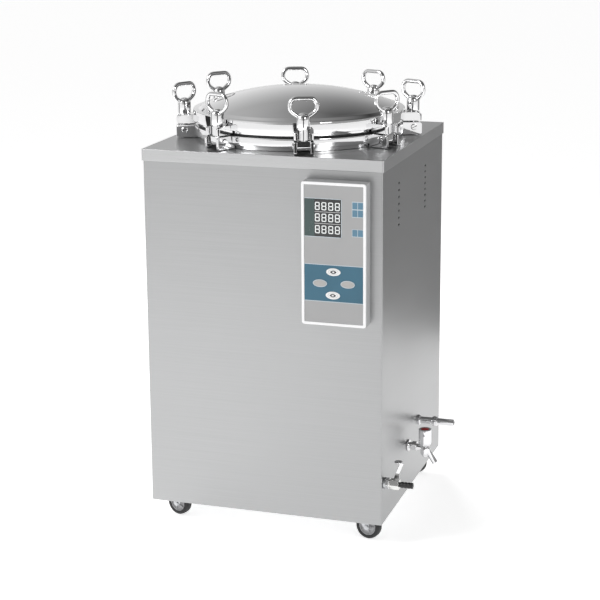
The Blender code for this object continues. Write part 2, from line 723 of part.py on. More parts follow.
def make_control_housing():
    """A sheet box, open to the front."""
    back, front = -WRAP - GAP, PANEL_FRONT + BEZEL_THICKNESS + GAP
    low_z = PANEL_TOP - PANEL_HEIGHT
    x0, x1 = PANEL_X - PANEL_WIDTH / 2 + 0.001, PANEL_X + PANEL_WIDTH / 2 - 0.001
    outer = ((x0, front, low_z + 0.001), (x1, back, PANEL_TOP - 0.001))
    housing = boxes("control_housing", [outer], GREY_PAINT)
    wall = 0.002
    inner = ((x0 + wall, front - 0.01, low_z + 0.001 + wall), (x1 - wall, back - wall, PANEL_TOP - 0.001 - wall))
    cut(housing, boxes("housing_hollow_cutter", [inner]))
    return housing


def panel_slab(name, width, height, radius, thickness, front, middle, steps, material=None):
    """A rounded plate on the control box, given by its front face and its middle in X and Z."""
    plate = slab(name, rounded_rectangle(width, height, radius, steps), thickness, material)
    plate.rotation_euler = (math.pi / 2, 0, 0)
    plate.location = (middle[0], front + thickness / 2, middle[1])
    return plate


def make_control_bezel():
    middle = (PANEL_X, PANEL_TOP - PANEL_HEIGHT / 2)
    bezel = panel_slab(
        "control_bezel", PANEL_WIDTH, PANEL_HEIGHT, BEZEL_RADIUS, BEZEL_THICKNESS, PANEL_FRONT, middle, 4, WHITE_PLASTIC
    )
    width, height = PANEL_WIDTH - 2 * BEZEL_BORDER, PANEL_HEIGHT - 2 * BEZEL_BORDER
    hole = panel_slab("bezel_cutter", width, height, 0.0015, 0.02, PANEL_FRONT - 0.01, middle, 2)
    cut(bezel, hole)
    return bezel


def overlay_size():
    return PANEL_WIDTH - 2 * BEZEL_BORDER - 2 * GAP, PANEL_HEIGHT - 2 * BEZEL_BORDER - 2 * GAP


def display_middle():
    left = PANEL_X - PANEL_WIDTH / 2 + BEZEL_BORDER
    return left + 0.001 + DISPLAY_SIZE[0] / 2, DISPLAY_MIDDLE_Z


def make_control_overlay():
    front = PANEL_FRONT + OVERLAY_RECESS
    middle = (PANEL_X, PANEL_TOP - PANEL_HEIGHT / 2)
    overlay = panel_slab("control_overlay", *overlay_size(), 0.001, OVERLAY_THICKNESS, front, middle, 1, GREY_FILM)
    window = panel_slab("window_cutter", *DISPLAY_SIZE, 0.001, 0.02, front - 0.01, display_middle(), 1)
    cut(overlay, window)
    for name, place in KEY_PLACES.items():
        width, height = KEY_SIZE[0] + 2 * GAP, KEY_SIZE[1] + 2 * GAP
        hole = panel_slab(name + "_cutter", width, height, height / 2, 0.02, front - 0.01, place, 4)
        cut(overlay, hole)
    return overlay


def make_display_window():
    front = PANEL_FRONT + OVERLAY_RECESS + 0.0002
    size = (DISPLAY_SIZE[0] - 2 * GAP, DISPLAY_SIZE[1] - 2 * GAP)
    return panel_slab("display_window", *size, 0.001, 0.003, front, display_middle(), 1, DARK_GLASS)


def make_keys():
    front = PANEL_FRONT + OVERLAY_RECESS - KEY_PROUD
    for name, place in KEY_PLACES.items():
        material = WHITE_PLASTIC if name in ("key_up", "key_down") else GREY_PAINT
        panel_slab(name, *KEY_SIZE, KEY_SIZE[1] / 2, KEY_THICKNESS, front, place, 4, material)


def make_control_board():
    """A circuit board on four spacers, with its larger components."""
    face = PANEL_FRONT + 0.0085
    low_z, high_z = PANEL_TOP - PANEL_HEIGHT + 0.020, PANEL_TOP - 0.020
    x0, x1 = PANEL_X - 0.062, PANEL_X + 0.062
    board = boxes("control_board", [((x0, face, low_z), (x1, face + 0.0016, high_z))], BOARD_GREEN)
    lumps = [
        ((x0 + 0.01, face + 0.001, low_z + 0.02), (x0 + 0.05, face + 0.017, low_z + 0.06)),
        ((x1 - 0.045, face + 0.001, low_z + 0.03), (x1 - 0.012, face + 0.013, low_z + 0.05)),
        ((x0 + 0.03, face + 0.001, low_z + 0.12), (x0 + 0.09, face + 0.005, low_z + 0.14)),
        ((x0 + 0.02, face + 0.001, high_z - 0.04), (x1 - 0.02, face + 0.011, high_z - 0.025)),
    ]
    join(board, boxes("board_parts_helper", lumps))
    back = -WRAP - GAP - 0.002 - GAP
    spacers = []
    for x in (x0 + 0.006, x1 - 0.006):
        for z in (low_z + 0.006, high_z - 0.006):
            spacers.append(((x, face + 0.001, z), (x, back, z), 0.003))
    join(board, rods("board_spacer_helper", spacers, 8))
    return board


# ---------------------------------------------------------------- fittings

def make_drain_valve():
    """Ball valve with the drain pipe behind it, its lever and its hose tail. The pipe axis runs along X."""
    y, z, x = DRAIN_Y, DRAIN_Z, WRAP
    pipe = [(x + 0.004, y, z), (x - 0.040, y, z), (x - 0.052, y + 0.012, z), (0.062, -0.028, z), (0.012, -0.004, z)]
    pipe += [(0.002, 0.0, z + 0.006), (0.0, 0.0, z + 0.016), (0.0, 0.0, CHAMBER_FLOOR - VESSEL_DISH - VESSEL_WALL - 0.002)]
    body = wire("drain_valve_body", pipe, 0.006, 1, CHROME)
    collar = ((x + GAP, y, z), (x + 0.006, y, z), 0.0135)
    join(body, rods("drain_collar", [collar], FITTING_STEPS))
    locknut = ((x + 0.0055, y, z), (x + 0.0135, y, z), 0.0140)
    join(body, rods("drain_locknut", [locknut], 6))
    neck = ((x + 0.013, y, z), (x + 0.0165, y, z), 0.0095)
    join(body, rods("drain_neck", [neck], FITTING_STEPS))
    hexagon = ((x + 0.016, y, z), (x + 0.038, y, z), 0.0135)
    join(body, rods("drain_hexagon", [hexagon], 6))
    stem = ((x + 0.025, y, z), (x + 0.025, y + 0.0215, z), 0.0040)
    join(body, rods("drain_stem", [stem], 12))
    bore = ((x + 0.026, y, z), (x + 0.060, y, z), 0.0062)
    cut(body, rods("drain_bore_cutter", [bore], 12))

    lever_x, lever_y = x + 0.025, y + 0.0180
    outline = arc((0, 0), 0.0075, 200, 340, 6) + [(0.017, 0.046), (0.0155, 0.0485), (0.011, 0.0485), (0.010, 0.046)]
    lever = slab("drain_valve_lever", outline, 0.0025, CHROME)
    lever.data.transform(Matrix.Rotation(math.pi / 2, 4, "X"))
    lever.location = (lever_x, lever_y, z)
    pad = rods("lever_pad", [((0.0050, 0.0015, 0.0465), (0.0050, 0.0015, 0.0500), 0.0100)], FITTING_STEPS)
    pad.location = (lever_x, lever_y, z)
    join(lever, pad)
    bore = rods("lever_bore_cutter", [((0, -0.01, 0), (0, 0.01, 0), 0.0043)], 12)
    bore.location = (lever_x, lever_y, z)
    cut(lever, bore)

    profile = [(0.0060, 0.0365), (0.0072, 0.0365)]
    for i in range(3):
        profile += [(0.0075, 0.033 - 0.008 * i), (0.0064, 0.030 - 0.008 * i)]
    profile += [(0.0064, 0.0060), (0.0060, 0.0045), (0.0060, 0.0), (0.0040, 0.0), (0.0040, 0.0365)]
    tail = turned_ring("drain_hose_tail", profile[1:], FITTING_STEPS, BLACK_PLASTIC)
    lay_along(tail, "+X").location = (x + 0.0342, y, z)


def make_exhaust_tap():
    """A tap with a tall round knob and a spout that slopes down and outward. Its stem runs along Z."""
    y, z, x = TAP_Y, TAP_Z, WRAP
    axis_x = x + 0.0430
    inlet = ((x - 0.030, y, z), (x + 0.016, y, z), 0.0075)
    body = rods("exhaust_tap_body", [inlet], FITTING_STEPS, CHROME)
    join(body, rods("tap_bridge", [((x + 0.015, y, z - 0.002), (axis_x, y, z - 0.002), 0.0058)], FITTING_STEPS))
    join(body, rods("tap_collar", [((x + GAP, y, z), (x + 0.004, y, z), 0.0150)], FITTING_STEPS))
    join(body, rods("tap_nut", [((x + 0.012, y, z), (x + 0.024, y, z), 0.0125)], 6))
    join(body, rods("tap_barrel", [((axis_x, y, z - 0.020), (axis_x, y, z + 0.0035), 0.0110)], FITTING_STEPS))
    join(body, rods("tap_foot", [((axis_x, y, z - 0.025), (axis_x, y, z - 0.019), 0.0070)], FITTING_STEPS))
    join(body, rods("tap_stem", [((axis_x, y, z), (axis_x, y, z + 0.030), 0.0040)], 12))
    slope = math.radians(57)
    start = Vector((axis_x + 0.004, y, z - 0.004))
    along = Vector((math.cos(slope), 0, -math.sin(slope)))
    spout = rods("tap_spout", [(start, start + along * 0.041, 0.0072)], FITTING_STEPS)
    join(body, spout)
    bore = rods("tap_bore_cutter", [(start + along * 0.012, start + along * 0.060, 0.0050)], 12)
    cut(body, bore)

    low, high, radius = z + 0.0048, z + 0.0465, 0.0158
    profile = [(0.0105, high - 0.003), (0.0105, high), (radius - 0.001, high), (radius, high - 0.001)]
    profile += [(radius, low + 0.006), (radius - 0.003, low), (0.0044, low), (0.0044, z + 0.031), (0, z + 0.031)]
    knob = turned("exhaust_tap_knob", [(0, high - 0.003)] + profile, 20, CHROME)
    knob.location = (axis_x, y, 0)
    cap = [(0, high + 0.0006), (0.0092, high + 0.0006), (0.0101, high - 0.0002), (0.0101, high - 0.0027), (0, high - 0.0027)]
    top = turned("exhaust_tap_cap", cap, 20, RED_PLASTIC)
    top.location = (axis_x, y, 0)


def make_steam_nozzle():
    """A straight pipe with a knurled collar, turned about X."""
    reach, radius, bore = NOZZLE_REACH, 0.0085, 0.0060
    profile = [(radius - 0.0008, reach), (radius, reach - 0.001), (radius, 0.050), (0.0118, 0.049), (0.0122, 0.046)]
    profile += [(0.0122, 0.040), (0.0118, 0.037), (0.0098, 0.036), (radius, 0.034), (radius, 0.0065), (0.0125, 0.006)]
    profile += [(0.0125, GAP), (radius, GAP), (radius, -0.030), (bore, -0.030), (bore, reach)]
    nozzle = turned_ring("steam_nozzle", profile, FITTING_STEPS, CHROME)
    lay_along(nozzle, "+X").location = (WRAP, NOZZLE_Y, NOZZLE_Z)
    return nozzle


def make_cable_gland():
    """The inlet for the supply lead on the rear panel, with an open bore."""
    reach, bore = GLAND_REACH, 0.0055
    profile = [(0.0085, reach), (0.0100, reach - 0.003), (0.0125, 0.016), (0.0125, 0.010), (0.0155, 0.009)]
    profile += [(0.0155, GAP), (0.0105, GAP), (0.0105, -0.012), (bore, -0.012), (bore, reach)]
    gland = turned_ring("cable_gland", profile, FITTING_STEPS, BLACK_PLASTIC)
    lay_along(gland, "+Y").location = (GLAND_X, WRAP, GLAND_Z)
    return gland


# ---------------------------------------------------------------- assembly

def empty(name, location, parent=None):
    obj = bpy.data.objects.new(name, None)
    obj.location = location
    obj.empty_display_size = 0.03
    PARTS.objects.link(obj)
    obj.parent = parent
    return obj


def hang_on_cabinet():
    """Puts every piece and helper that has no parent yet on the cabinet's axis."""
    for collection in (PARTS, HELPERS):
        for obj in collection.objects:
            if obj is not ROOT and obj.parent is None:
                obj.parent = ROOT


clear_scene()
PARTS = new_collection("vertical_autoclave")
HELPERS = new_collection("helpers")
STEEL = make_material("brushed_steel", (0.62, 0.63, 0.64), 0.35, 1.0)
MIRROR_STEEL = make_material("mirror_steel", (0.78, 0.78, 0.79), 0.06, 1.0)
CHROME = make_material("chrome", (0.80, 0.80, 0.81), 0.08, 1.0)
ZINC = make_material("zinc_plate", (0.55, 0.56, 0.58), 0.35, 1.0)
HEATER_STEEL = make_material("heater_steel", (0.30, 0.29, 0.28), 0.40, 1.0)
GREY_PAINT = make_material("grey_paint", (0.50, 0.51, 0.52), 0.45)
GREY_FILM = make_material("grey_film", (0.42, 0.42, 0.42), 0.50)
WHITE_PLASTIC = make_material("white_plastic", (0.90, 0.90, 0.90), 0.35)
DARK_GLASS = make_material("dark_glass", (0.03, 0.04, 0.04), 0.10)
BOARD_GREEN = make_material("board_green", (0.05, 0.22, 0.10), 0.55)
SEAL_RUBBER = make_material("seal_rubber", (0.05, 0.05, 0.05), 0.70)
TYRE = make_material("tyre", (0.03, 0.03, 0.03), 0.65)
BLACK_PLASTIC = make_material("black_plastic", (0.03, 0.03, 0.03), 0.40)
RED_PLASTIC = make_material("red_plastic", (0.65, 0.02, 0.02), 0.35)

ROOT = empty("cabinet_axis", (CABINET_X, CABINET_Y, 0.0))
make_cabinet_wrap()
make_rear_panel()
make_top_cover()
make_base_tray()
make_pressure_vessel()
make_vessel_skirt()
make_lid()
make_lid_gasket()
make_heating_element()
make_chamber_rack()
make_sterilizing_basket()
make_control_housing()
make_control_bezel()
make_control_overlay()
make_display_window()
make_keys()
make_control_board()
make_drain_valve()
make_exhaust_tap()
make_steam_nozzle()
make_cable_gland()
hang_on_cabinet()
make_casters()
make_clamps()
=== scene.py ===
"""Looks of the vertical autoclave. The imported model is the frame, and every visible piece rides on one of its bodies.

Lengths are in metres. The pieces are drawn about the cabinet's own axis, which CABINET moves into the frame.
"""

import json
import math

import bmesh
import bpy
from mathutils import Matrix, Vector


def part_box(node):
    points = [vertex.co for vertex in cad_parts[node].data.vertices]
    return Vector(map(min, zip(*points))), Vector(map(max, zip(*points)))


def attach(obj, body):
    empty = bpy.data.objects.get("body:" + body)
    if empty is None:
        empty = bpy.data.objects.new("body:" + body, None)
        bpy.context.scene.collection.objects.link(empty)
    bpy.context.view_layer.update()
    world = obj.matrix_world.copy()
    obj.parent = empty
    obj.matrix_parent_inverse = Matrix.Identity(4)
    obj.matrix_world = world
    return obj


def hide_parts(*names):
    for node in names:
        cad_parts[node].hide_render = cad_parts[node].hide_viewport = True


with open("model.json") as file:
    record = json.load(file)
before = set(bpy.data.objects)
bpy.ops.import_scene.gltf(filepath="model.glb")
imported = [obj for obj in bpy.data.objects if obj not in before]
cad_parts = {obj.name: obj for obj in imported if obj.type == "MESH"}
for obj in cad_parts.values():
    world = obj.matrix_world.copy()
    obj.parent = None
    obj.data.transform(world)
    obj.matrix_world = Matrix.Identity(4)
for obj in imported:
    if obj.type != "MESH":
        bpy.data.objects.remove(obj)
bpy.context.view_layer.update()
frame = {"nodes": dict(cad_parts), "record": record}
NODES = frame["nodes"]
JOINTS = {joint["name"]: joint for joint in frame["record"]["behaviour"]["joints"]}

cover_low, cover_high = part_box("top_cover")
CABINET = Matrix.Translation(((cover_low[0] + cover_high[0]) / 2, (cover_low[1] + cover_high[1]) / 2, 0))
DECK = cover_high[2]
HALF = (cover_high[0] - cover_low[0]) / 2
WRAP = HALF - 0.003
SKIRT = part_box("cabinet_wrap")[0][2]
WRAP_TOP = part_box("cabinet_wrap")[1][2]
PANEL_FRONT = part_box("control_bezel")[0][1] - CABINET.translation.y
FIRST_CLAMP = 20.0  # degrees from the front, turning towards the right side
CLAMP_STEP = 45
FLANGE_TOP = DECK + 0.0315
CHAMBER_DEPTH = 0.650
LID_LIP_BOTTOM = DECK + 0.0363
LID_RING_BOTTOM = DECK + 0.0440
LID_RING_TOP = DECK + 0.0700
RING_TOP = 0.1098  # middle of the wire, above the clamp's pin
KEY_HOLE = (0.0346, 0.0186)
NUT_TURNS = (0, -13, 46, 4, 0, -15, -48, 0)
KEYS = {"key_up": (0.187, 0.675), "key_down": (0.1857, 0.620), "key_left": (0.155, 0.647),
    "key_right": (0.221, 0.648)}


# ---------------------------------------------------------------- mesh tools

def arc(centre, radius, start, end, steps):
    turns = [math.radians(start + (end - start) * i / steps) for i in range(steps + 1)]
    return [(centre[0] + radius * math.cos(a), centre[1] + radius * math.sin(a)) for a in turns]


def rounded_rectangle(width, height, radius, steps=6):
    x, y = width / 2 - radius, height / 2 - radius
    corners = ((x, y, 0), (-x, y, 90), (-x, -y, 180), (x, -y, 270))
    return [p for cx, cy, start in corners for p in arc((cx, cy), radius, start, start + 90, steps)]


def add_turned(bm, profile, steps=64, matrix=Matrix(), closed=False):
    """Turns points of radius and height round the matrix's Z."""
    rings = []
    for radius, height in profile:
        if radius < 1e-6:
            rings.append([bm.verts.new(matrix @ Vector((0, 0, height)))])
            continue
        ring = []
        for i in range(steps):
            a = 2 * math.pi * i / steps
            ring.append(bm.verts.new(matrix @ Vector((radius * math.cos(a), radius * math.sin(a), height))))
        rings.append(ring)
    pairs = list(zip(rings, rings[1:]))
    if closed:
        pairs.append((rings[-1], rings[0]))
    for first, second in pairs:
        for i in range(steps):
            j = (i + 1) % steps
            if len(first) == 1 and len(second) == 1:
                break
            if len(first) == 1:
                bm.faces.new((first[0], second[j], second[i]))
            elif len(second) == 1:
                bm.faces.new((first[i], first[j], second[0]))
            else:
                bm.faces.new((first[i], first[j], second[j], second[i]))
    return bm


def add_prism(bm, outline, low, high, matrix=Matrix()):
    """An outline of X and Y points, from one height to another."""
    bottom = [bm.verts.new(matrix @ Vector((x, y, low))) for x, y in outline]
    top = [bm.verts.new(matrix @ Vector((x, y, high))) for x, y in outline]
    bm.faces.new(bottom)
    bm.faces.new(top)
    for i in range(len(outline)):
        j = (i + 1) % len(outline)
        bm.faces.new((bottom[i], bottom[j], top[j], top[i]))
    return bm


def add_box(bm, low, high, matrix=Matrix()):
    outline = [(low[0], low[1]), (high[0], low[1]), (high[0], high[1]), (low[0], high[1])]
    return add_prism(bm, outline, low[2], high[2], matrix)


def add_tube(bm, path, radius, sides=16, cyclic=False, matrix=Matrix()):
    """A round wire along points, with its section carried along without twist."""
    points = [Vector(p) for p in path]
    count = len(points)
    ahead = []
    for i in range(count):
        after = points[(i + 1) % count] if cyclic or i < count - 1 else points[i]
        before = points[i - 1] if cyclic or i > 0 else points[i]
        ahead.append((after - before).normalized())
    side = ahead[0].orthogonal().normalized()
    rings = []
    for i, (point, along) in enumerate(zip(points, ahead)):
        if i:
            side = ahead[i - 1].rotation_difference(along) @ side
        other = along.cross(side)
        ring = []
        for k in range(sides):
            a = 2 * math.pi * k / sides
            ring.append(bm.verts.new(matrix @ (point + radius * (math.cos(a) * side + math.sin(a) * other))))
        rings.append(ring)
    for first, second in zip(rings, rings[1:] + ([rings[0]] if cyclic else [])):
        for k in range(sides):
            n = (k + 1) % sides
            bm.faces.new((first[k], first[n], second[n], second[k]))
    if not cyclic:
        bm.faces.new(rings[0])
        bm.faces.new(rings[-1])
    return bm


def piece(name, bm, body, material, replaces=(), bevel=0.0, segments=2, matrix=CABINET, sharp=32):
    """Makes the mesh an object of the frame: smooth, with bevelled edges, riding on its body."""
    bmesh.ops.recalc_face_normals(bm, faces=bm.faces)
    bm.transform(matrix)
    mesh = bpy.data.meshes.new(name)
    bm.to_mesh(mesh)
    bm.free()
    obj = bpy.data.objects.new(name, mesh)
    bpy.context.scene.collection.objects.link(obj)
    mesh.materials.append(material)
    mesh.shade_smooth()
    mesh.set_sharp_from_angle(angle=math.radians(sharp))
    if bevel:
        add_bevel(obj, bevel, segments)
    if replaces:
        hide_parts(*replaces)
    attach(obj, body)
    return obj


def add_bevel(obj, width, segments=2, angle=32):
    bevel = obj.modifiers.new("edges", "BEVEL")
    bevel.width = width
    bevel.segments = segments
    bevel.limit_method = "ANGLE"
    bevel.angle_limit = math.radians(angle)
    bevel.use_clamp_overlap = True
    bevel.harden_normals = False
    return bevel


def carved(bm, cutter):
    """A mesh with another one cut out of it."""
    pair = []
    for name, source in (("carved", bm), ("cutter", cutter)):
        bmesh.ops.recalc_face_normals(source, faces=source.faces)
        mesh = bpy.data.meshes.new(name)
        source.to_mesh(mesh)
        source.free()
        obj = bpy.data.objects.new(name, mesh)
        bpy.context.scene.collection.objects.link(obj)
        pair.append(obj)
    modifier = pair[0].modifiers.new("cut", "BOOLEAN")
    modifier.object = pair[1]
    modifier.solver = "EXACT"
    modifier.use_self = True
    bpy.context.view_layer.update()
    done = bpy.data.meshes.new_from_object(pair[0].evaluated_get(bpy.context.evaluated_depsgraph_get()))
    result = bmesh.new()
    result.from_mesh(done)
    bpy.data.meshes.remove(done)
    for obj in pair:
        mesh = obj.data
        bpy.data.objects.remove(obj, do_unlink=True)
        bpy.data.meshes.remove(mesh)
    return result


XZ = Matrix.Rotation(math.pi / 2, 4, "X")  # an outline of X and Z points, whose heights run towards -Y
ALONG_X = Matrix.Rotation(math.pi / 2, 4, "Y")
ALONG_Y = Matrix.Rotation(-math.pi / 2, 4, "X")


def at(x, y, z, turn=Matrix()):
    return Matrix.Translation((x, y, z)) @ turn


# ---------------------------------------------------------------- materials

class Nodes:
    """A material's node tree, with short calls to build it."""

    def __init__(self, name, colour, roughness, metallic=0.0, **values):
        self.material = bpy.data.materials.new(name)
        self.material.use_nodes = True
        self.tree = self.material.node_tree
        self.shader = self.tree.nodes["Principled BSDF"]
        self.material.diffuse_color = (*colour, 1.0)
        self.set("Base Color", (*colour, 1.0))
        self.set("Roughness", roughness)
        self.set("Metallic", metallic)
        for socket, value in values.items():
            self.set(socket.replace("_", " "), value)

    def set(self, socket, value):
        self.shader.inputs[socket].default_value = value

    def add(self, kind, **values):
        node = self.tree.nodes.new(kind)
        for key, value in values.items():
            if key in node.inputs:
                node.inputs[key].default_value = value
            else:
                setattr(node, key, value)
        return node

    def link(self, source, target):
        self.tree.links.new(source, target)

    def place(self, scale):
        """Object coordinates stretched by three factors."""
        coordinates = self.add("ShaderNodeTexCoord")
        mapping = self.add("ShaderNodeMapping")
        mapping.inputs["Scale"].default_value = scale
        self.link(coordinates.outputs["Object"], mapping.inputs["Vector"])
        return mapping.outputs["Vector"]

    def noise(self, scale, amount=1.0, detail=3.0, roughness=0.55):
        node = self.add("ShaderNodeTexNoise")
        node.inputs["Scale"].default_value = amount
        node.inputs["Detail"].default_value = detail
        node.inputs["Roughness"].default_value = roughness
        self.link(self.place(scale), node.inputs["Vector"])
        return node.outputs["Fac"]

    def remap(self, source, low, high, start=0.3, end=0.7):
        node = self.add("ShaderNodeMapRange")
        for key, value in (("From Min", start), ("From Max", end), ("To Min", low), ("To Max", high)):
            node.inputs[key].default_value = value
        self.link(source, node.inputs["Value"])
        return node.outputs["Result"]

    def blend(self, factor, first, second):
        node = self.add("ShaderNodeMix", data_type="RGBA")
        node.inputs[6].default_value = (*first, 1.0)
        node.inputs[7].default_value = (*second, 1.0)
        self.link(factor, node.inputs[0])
        return node.outputs[2]

    def bump(self, height, strength, distance=0.001):
        node = self.add("ShaderNodeBump")
        node.inputs["Strength"].default_value = strength
        node.inputs["Distance"].default_value = distance
        self.link(height, node.inputs["Height"])
        self.link(node.outputs["Normal"], self.shader.inputs["Normal"])


def brushed(name, colour, grain, roughness=0.30, spread=0.10, streak=0.05):
    """Sheet steel with fine brush lines. grain holds how much the pattern is squeezed along X, Y and Z."""
    made = Nodes(name, colour, roughness, 1.0)
    fine = made.noise(grain, 1.0, 4.0, 0.65)
    broad = made.noise((1.3, 1.3, 1.3), 1.0, 2.0)
    dark = tuple(c * (1 - streak) for c in colour)
    light = tuple(min(1.0, c * (1 + streak)) for c in colour)
    made.link(made.blend(made.remap(fine, 0.0, 1.0), dark, light), made.shader.inputs["Base Color"])
    mixed = made.add("ShaderNodeMath", operation="ADD")
    made.link(made.remap(fine, roughness - spread / 2, roughness + spread / 2), mixed.inputs[0])
    made.link(made.remap(broad, -0.03, 0.03), mixed.inputs[1])
    made.link(mixed.outputs[0], made.shader.inputs["Roughness"])
    made.bump(fine, 0.05, 0.0004)
    return made.material


def polished(name, colour, roughness, waviness=0.03):
    """Mirror-finished metal with faint haze and a slight unevenness."""
    made = Nodes(name, colour, roughness, 1.0)
    haze = made.noise((22, 22, 22), 1.0, 4.0)
    made.link(made.remap(haze, roughness * 0.7, roughness * 1.8), made.shader.inputs["Roughness"])
    made.bump(made.noise((35, 35, 35), 1.0, 2.0), waviness, 0.0006)
    return made.material


def moulded(name, colour, roughness, texture=0.06, grain=900.0, variation=0.06, **values):
    """Plastic, paint or rubber with a fine surface texture and slightly uneven colour."""
    made = Nodes(name, colour, roughness, 0.0, **values)
    cloud = made.noise((9, 9, 9), 1.0, 3.0)
    dark = tuple(c * (1 - variation) for c in colour)
    light = tuple(min(1.0, c * (1 + variation)) for c in colour)
    made.link(made.blend(made.remap(cloud, 0.0, 1.0), dark, light), made.shader.inputs["Base Color"])
    made.link(made.remap(made.noise((60, 60, 60), 1.0, 3.0), roughness - 0.05, roughness + 0.07),
        made.shader.inputs["Roughness"])
    made.bump(made.noise((grain, grain, grain), 1.0, 2.0), texture, 0.0002)
    return made.material


def lit(name, colour, strength):
    made = Nodes(name, colour, 0.4)
    made.set("Emission Color", (*colour, 1.0))
    made.set("Emission Strength", strength)
    return made.material


# The front and side sheet is the same steel as the deck and rear; its colour is set darker as painted shade on the
# front and sides.
SHADED_FRONT_STEEL = brushed("front_steel_painted_shade", (0.43, 0.433, 0.436), (3.0, 3.0, 620.0), 0.36)
DECK_STEEL = brushed("deck_steel", (0.55, 0.553, 0.556), (3.0, 620.0, 620.0), 0.33)
REAR_STEEL = brushed("rear_steel", (0.60, 0.605, 0.61), (3.0, 3.0, 620.0), 0.40)
TRAY_STEEL = brushed("tray_steel", (0.45, 0.455, 0.46), (3.0, 500.0, 3.0), 0.45)
BASKET_STEEL = brushed("basket_steel", (0.58, 0.585, 0.59), (4.0, 4.0, 300.0), 0.34)
MIRROR = polished("mirror_steel", (0.86, 0.86, 0.865), 0.045)
CHROME = polished("chrome", (0.84, 0.84, 0.85), 0.05)
NICKEL = polished("nickel", (0.80, 0.795, 0.78), 0.14)
ZINC = polished("zinc_plate", (0.55, 0.56, 0.575), 0.30, 0.08)
HEATER = polished("heater_steel", (0.30, 0.285, 0.27), 0.38, 0.08)
# Near-black used as painted shade: the backing behind the louvre slots, the screws' cross slots, the pins' slots and
# the gland's bore are dark from shade, not from their own colour.
SHADE_BLACK = moulded("painted_shade_black", (0.012, 0.012, 0.012), 0.7)
SEAL = moulded("seal_rubber", (0.025, 0.025, 0.026), 0.62, 0.10)
TYRE = moulded("tyre_rubber", (0.018, 0.018, 0.019), 0.58, 0.16, 500.0)
HUB = moulded("hub_plastic", (0.42, 0.42, 0.43), 0.48)
BLACK = moulded("black_plastic", (0.012, 0.012, 0.013), 0.34, 0.05)
HOUSING = moulded("housing_paint", (0.47, 0.475, 0.48), 0.42, 0.10, 700.0, 0.03)
WHITE = moulded("white_plastic", (0.86, 0.86, 0.865), 0.32, 0.03, 600.0, 0.015)
FILM = moulded("grey_film", (0.36, 0.36, 0.362), 0.46, 0.05, 1500.0, 0.025)
BLUE = moulded("blue_print", (0.040, 0.128, 0.190), 0.42, 0.05, 1500.0, 0.10)
CELL = moulded("cell_print", (0.105, 0.215, 0.300), 0.42, 0.05, 1500.0, 0.10)
PALE = moulded("pale_print", (0.50, 0.56, 0.60), 0.42, 0.03)
GREY_KEY = moulded("key_grey", (0.40, 0.39, 0.38), 0.50, 0.08)
KEY_WHITE = moulded("key_white", (0.80, 0.80, 0.79), 0.40, 0.05)
KEY_INK = moulded("key_ink", (0.035, 0.036, 0.04), 0.45)
KEY_RING = moulded("key_ring", (0.52, 0.52, 0.53), 0.45)
WINDOW = moulded("display_window", (0.010, 0.011, 0.012), 0.10, 0.01, 300.0, 0.10, Coat_Weight=0.6)
WINDOW_TINT = moulded("display_tint", (0.050, 0.080, 0.078), 0.22, 0.01, 300.0, 0.12)
DIGIT = lit("digit_white", (0.70, 0.72, 0.72), 0.30)
BOARD = moulded("board_green", (0.02, 0.13, 0.06), 0.40, 0.10, 300.0)
RED = moulded("red_cap", (0.50, 0.008, 0.010), 0.30, 0.03)


# ---------------------------------------------------------------- cabinet

def capsule(length, width, steps=6):
    reach = (length - width) / 2
    return arc((reach, 0), width / 2, -90, 90, steps) + arc((-reach, 0), width / 2, 90, 270, steps)


def make_cabinet():
    """Front and sides from one sheet with round bends, real louvre slots and pipe holes, and a black sheet of painted
    shade behind each slot.
    """
    sheet, radius = 0.0015, 0.0035
    back = WRAP - 0.0018
    corners = ((-1, 180, 270), (1, 270, 360))
    outer, inner = [(-WRAP, back)], [(-WRAP + sheet, back)]
    for side, start, end in corners:
        centre = (side * (WRAP - radius), -WRAP + radius)
        outer += arc(centre, radius, start, end, 8)
        inner += arc(centre, radius - sheet, start, end, 8)
    outer.append((WRAP, back))
    inner.append((WRAP - sheet, back))
    bm = add_prism(bmesh.new(), outer + inner[::-1], SKIRT, WRAP_TOP)
    cutter = bmesh.new()
    slots = []
    for y, top, pitch, count in ((-0.146, 0.853, 0.0165, 7), (0.110, 0.850, 0.0148, 8)):
        slots += [(y, top - pitch * i) for i in range(count)]
    turn = Matrix.Rotation(math.pi / 2, 4, "Z") @ XZ
    for y, z in slots:
        add_prism(cutter, capsule(0.014, 0.005), -0.01, 0.01, at(WRAP, y, z, turn))
    for y, z in ((-0.270, 0.156), (-0.042, 0.172), (0.061, 0.205)):
        add_turned(cutter, [(0, -0.01), (0.0095, -0.01), (0.0095, 0.01), (0, 0.01)], 32, at(WRAP, y, z, ALONG_X))
    piece("cabinet_sheet", carved(bm, cutter), "cabinet", SHADED_FRONT_STEEL, ["cabinet_wrap"])
    hoods, shade = bmesh.new(), bmesh.new()
    for y, z in slots:
        ring_pair(hoods, capsule(0.0172, 0.0078), capsule(0.0136, 0.0046), 0.0, -0.0012,
            at(WRAP - 0.0002, y, z, turn))
        # Each slot gets a black capsule just inside the sheet: painted shade, so the opening reads dark.
        add_prism(shade, capsule(0.0170, 0.0076), 0.0, 0.0004, at(WRAP - 0.0022, y, z, turn))
    piece("louvre_lips", hoods, "cabinet", SHADED_FRONT_STEEL, bevel=0.0004)
    piece("louvre_backing_painted_shade", shade, "cabinet", SHADE_BLACK)


def ring_pair(bm, outer, inner, low, high, matrix=Matrix()):
    """A flat ring between two outlines with the same number of points."""
    layers = []
    for outline in (outer, inner):
        for height in (low, high):
            layers.append([bm.verts.new(matrix @ Vector((x, y, height))) for x, y in outline])
    outer_low, outer_high, inner_low, inner_high = layers
    count = len(outer)
    for a, b in ((outer_low, outer_high), (outer_high, inner_high), (inner_high, inner_low), (inner_low, outer_low)):
        for i in range(count):
            j = (i + 1) % count
            bm.faces.new((a[i], a[j], b[j], b[i]))
    return bm


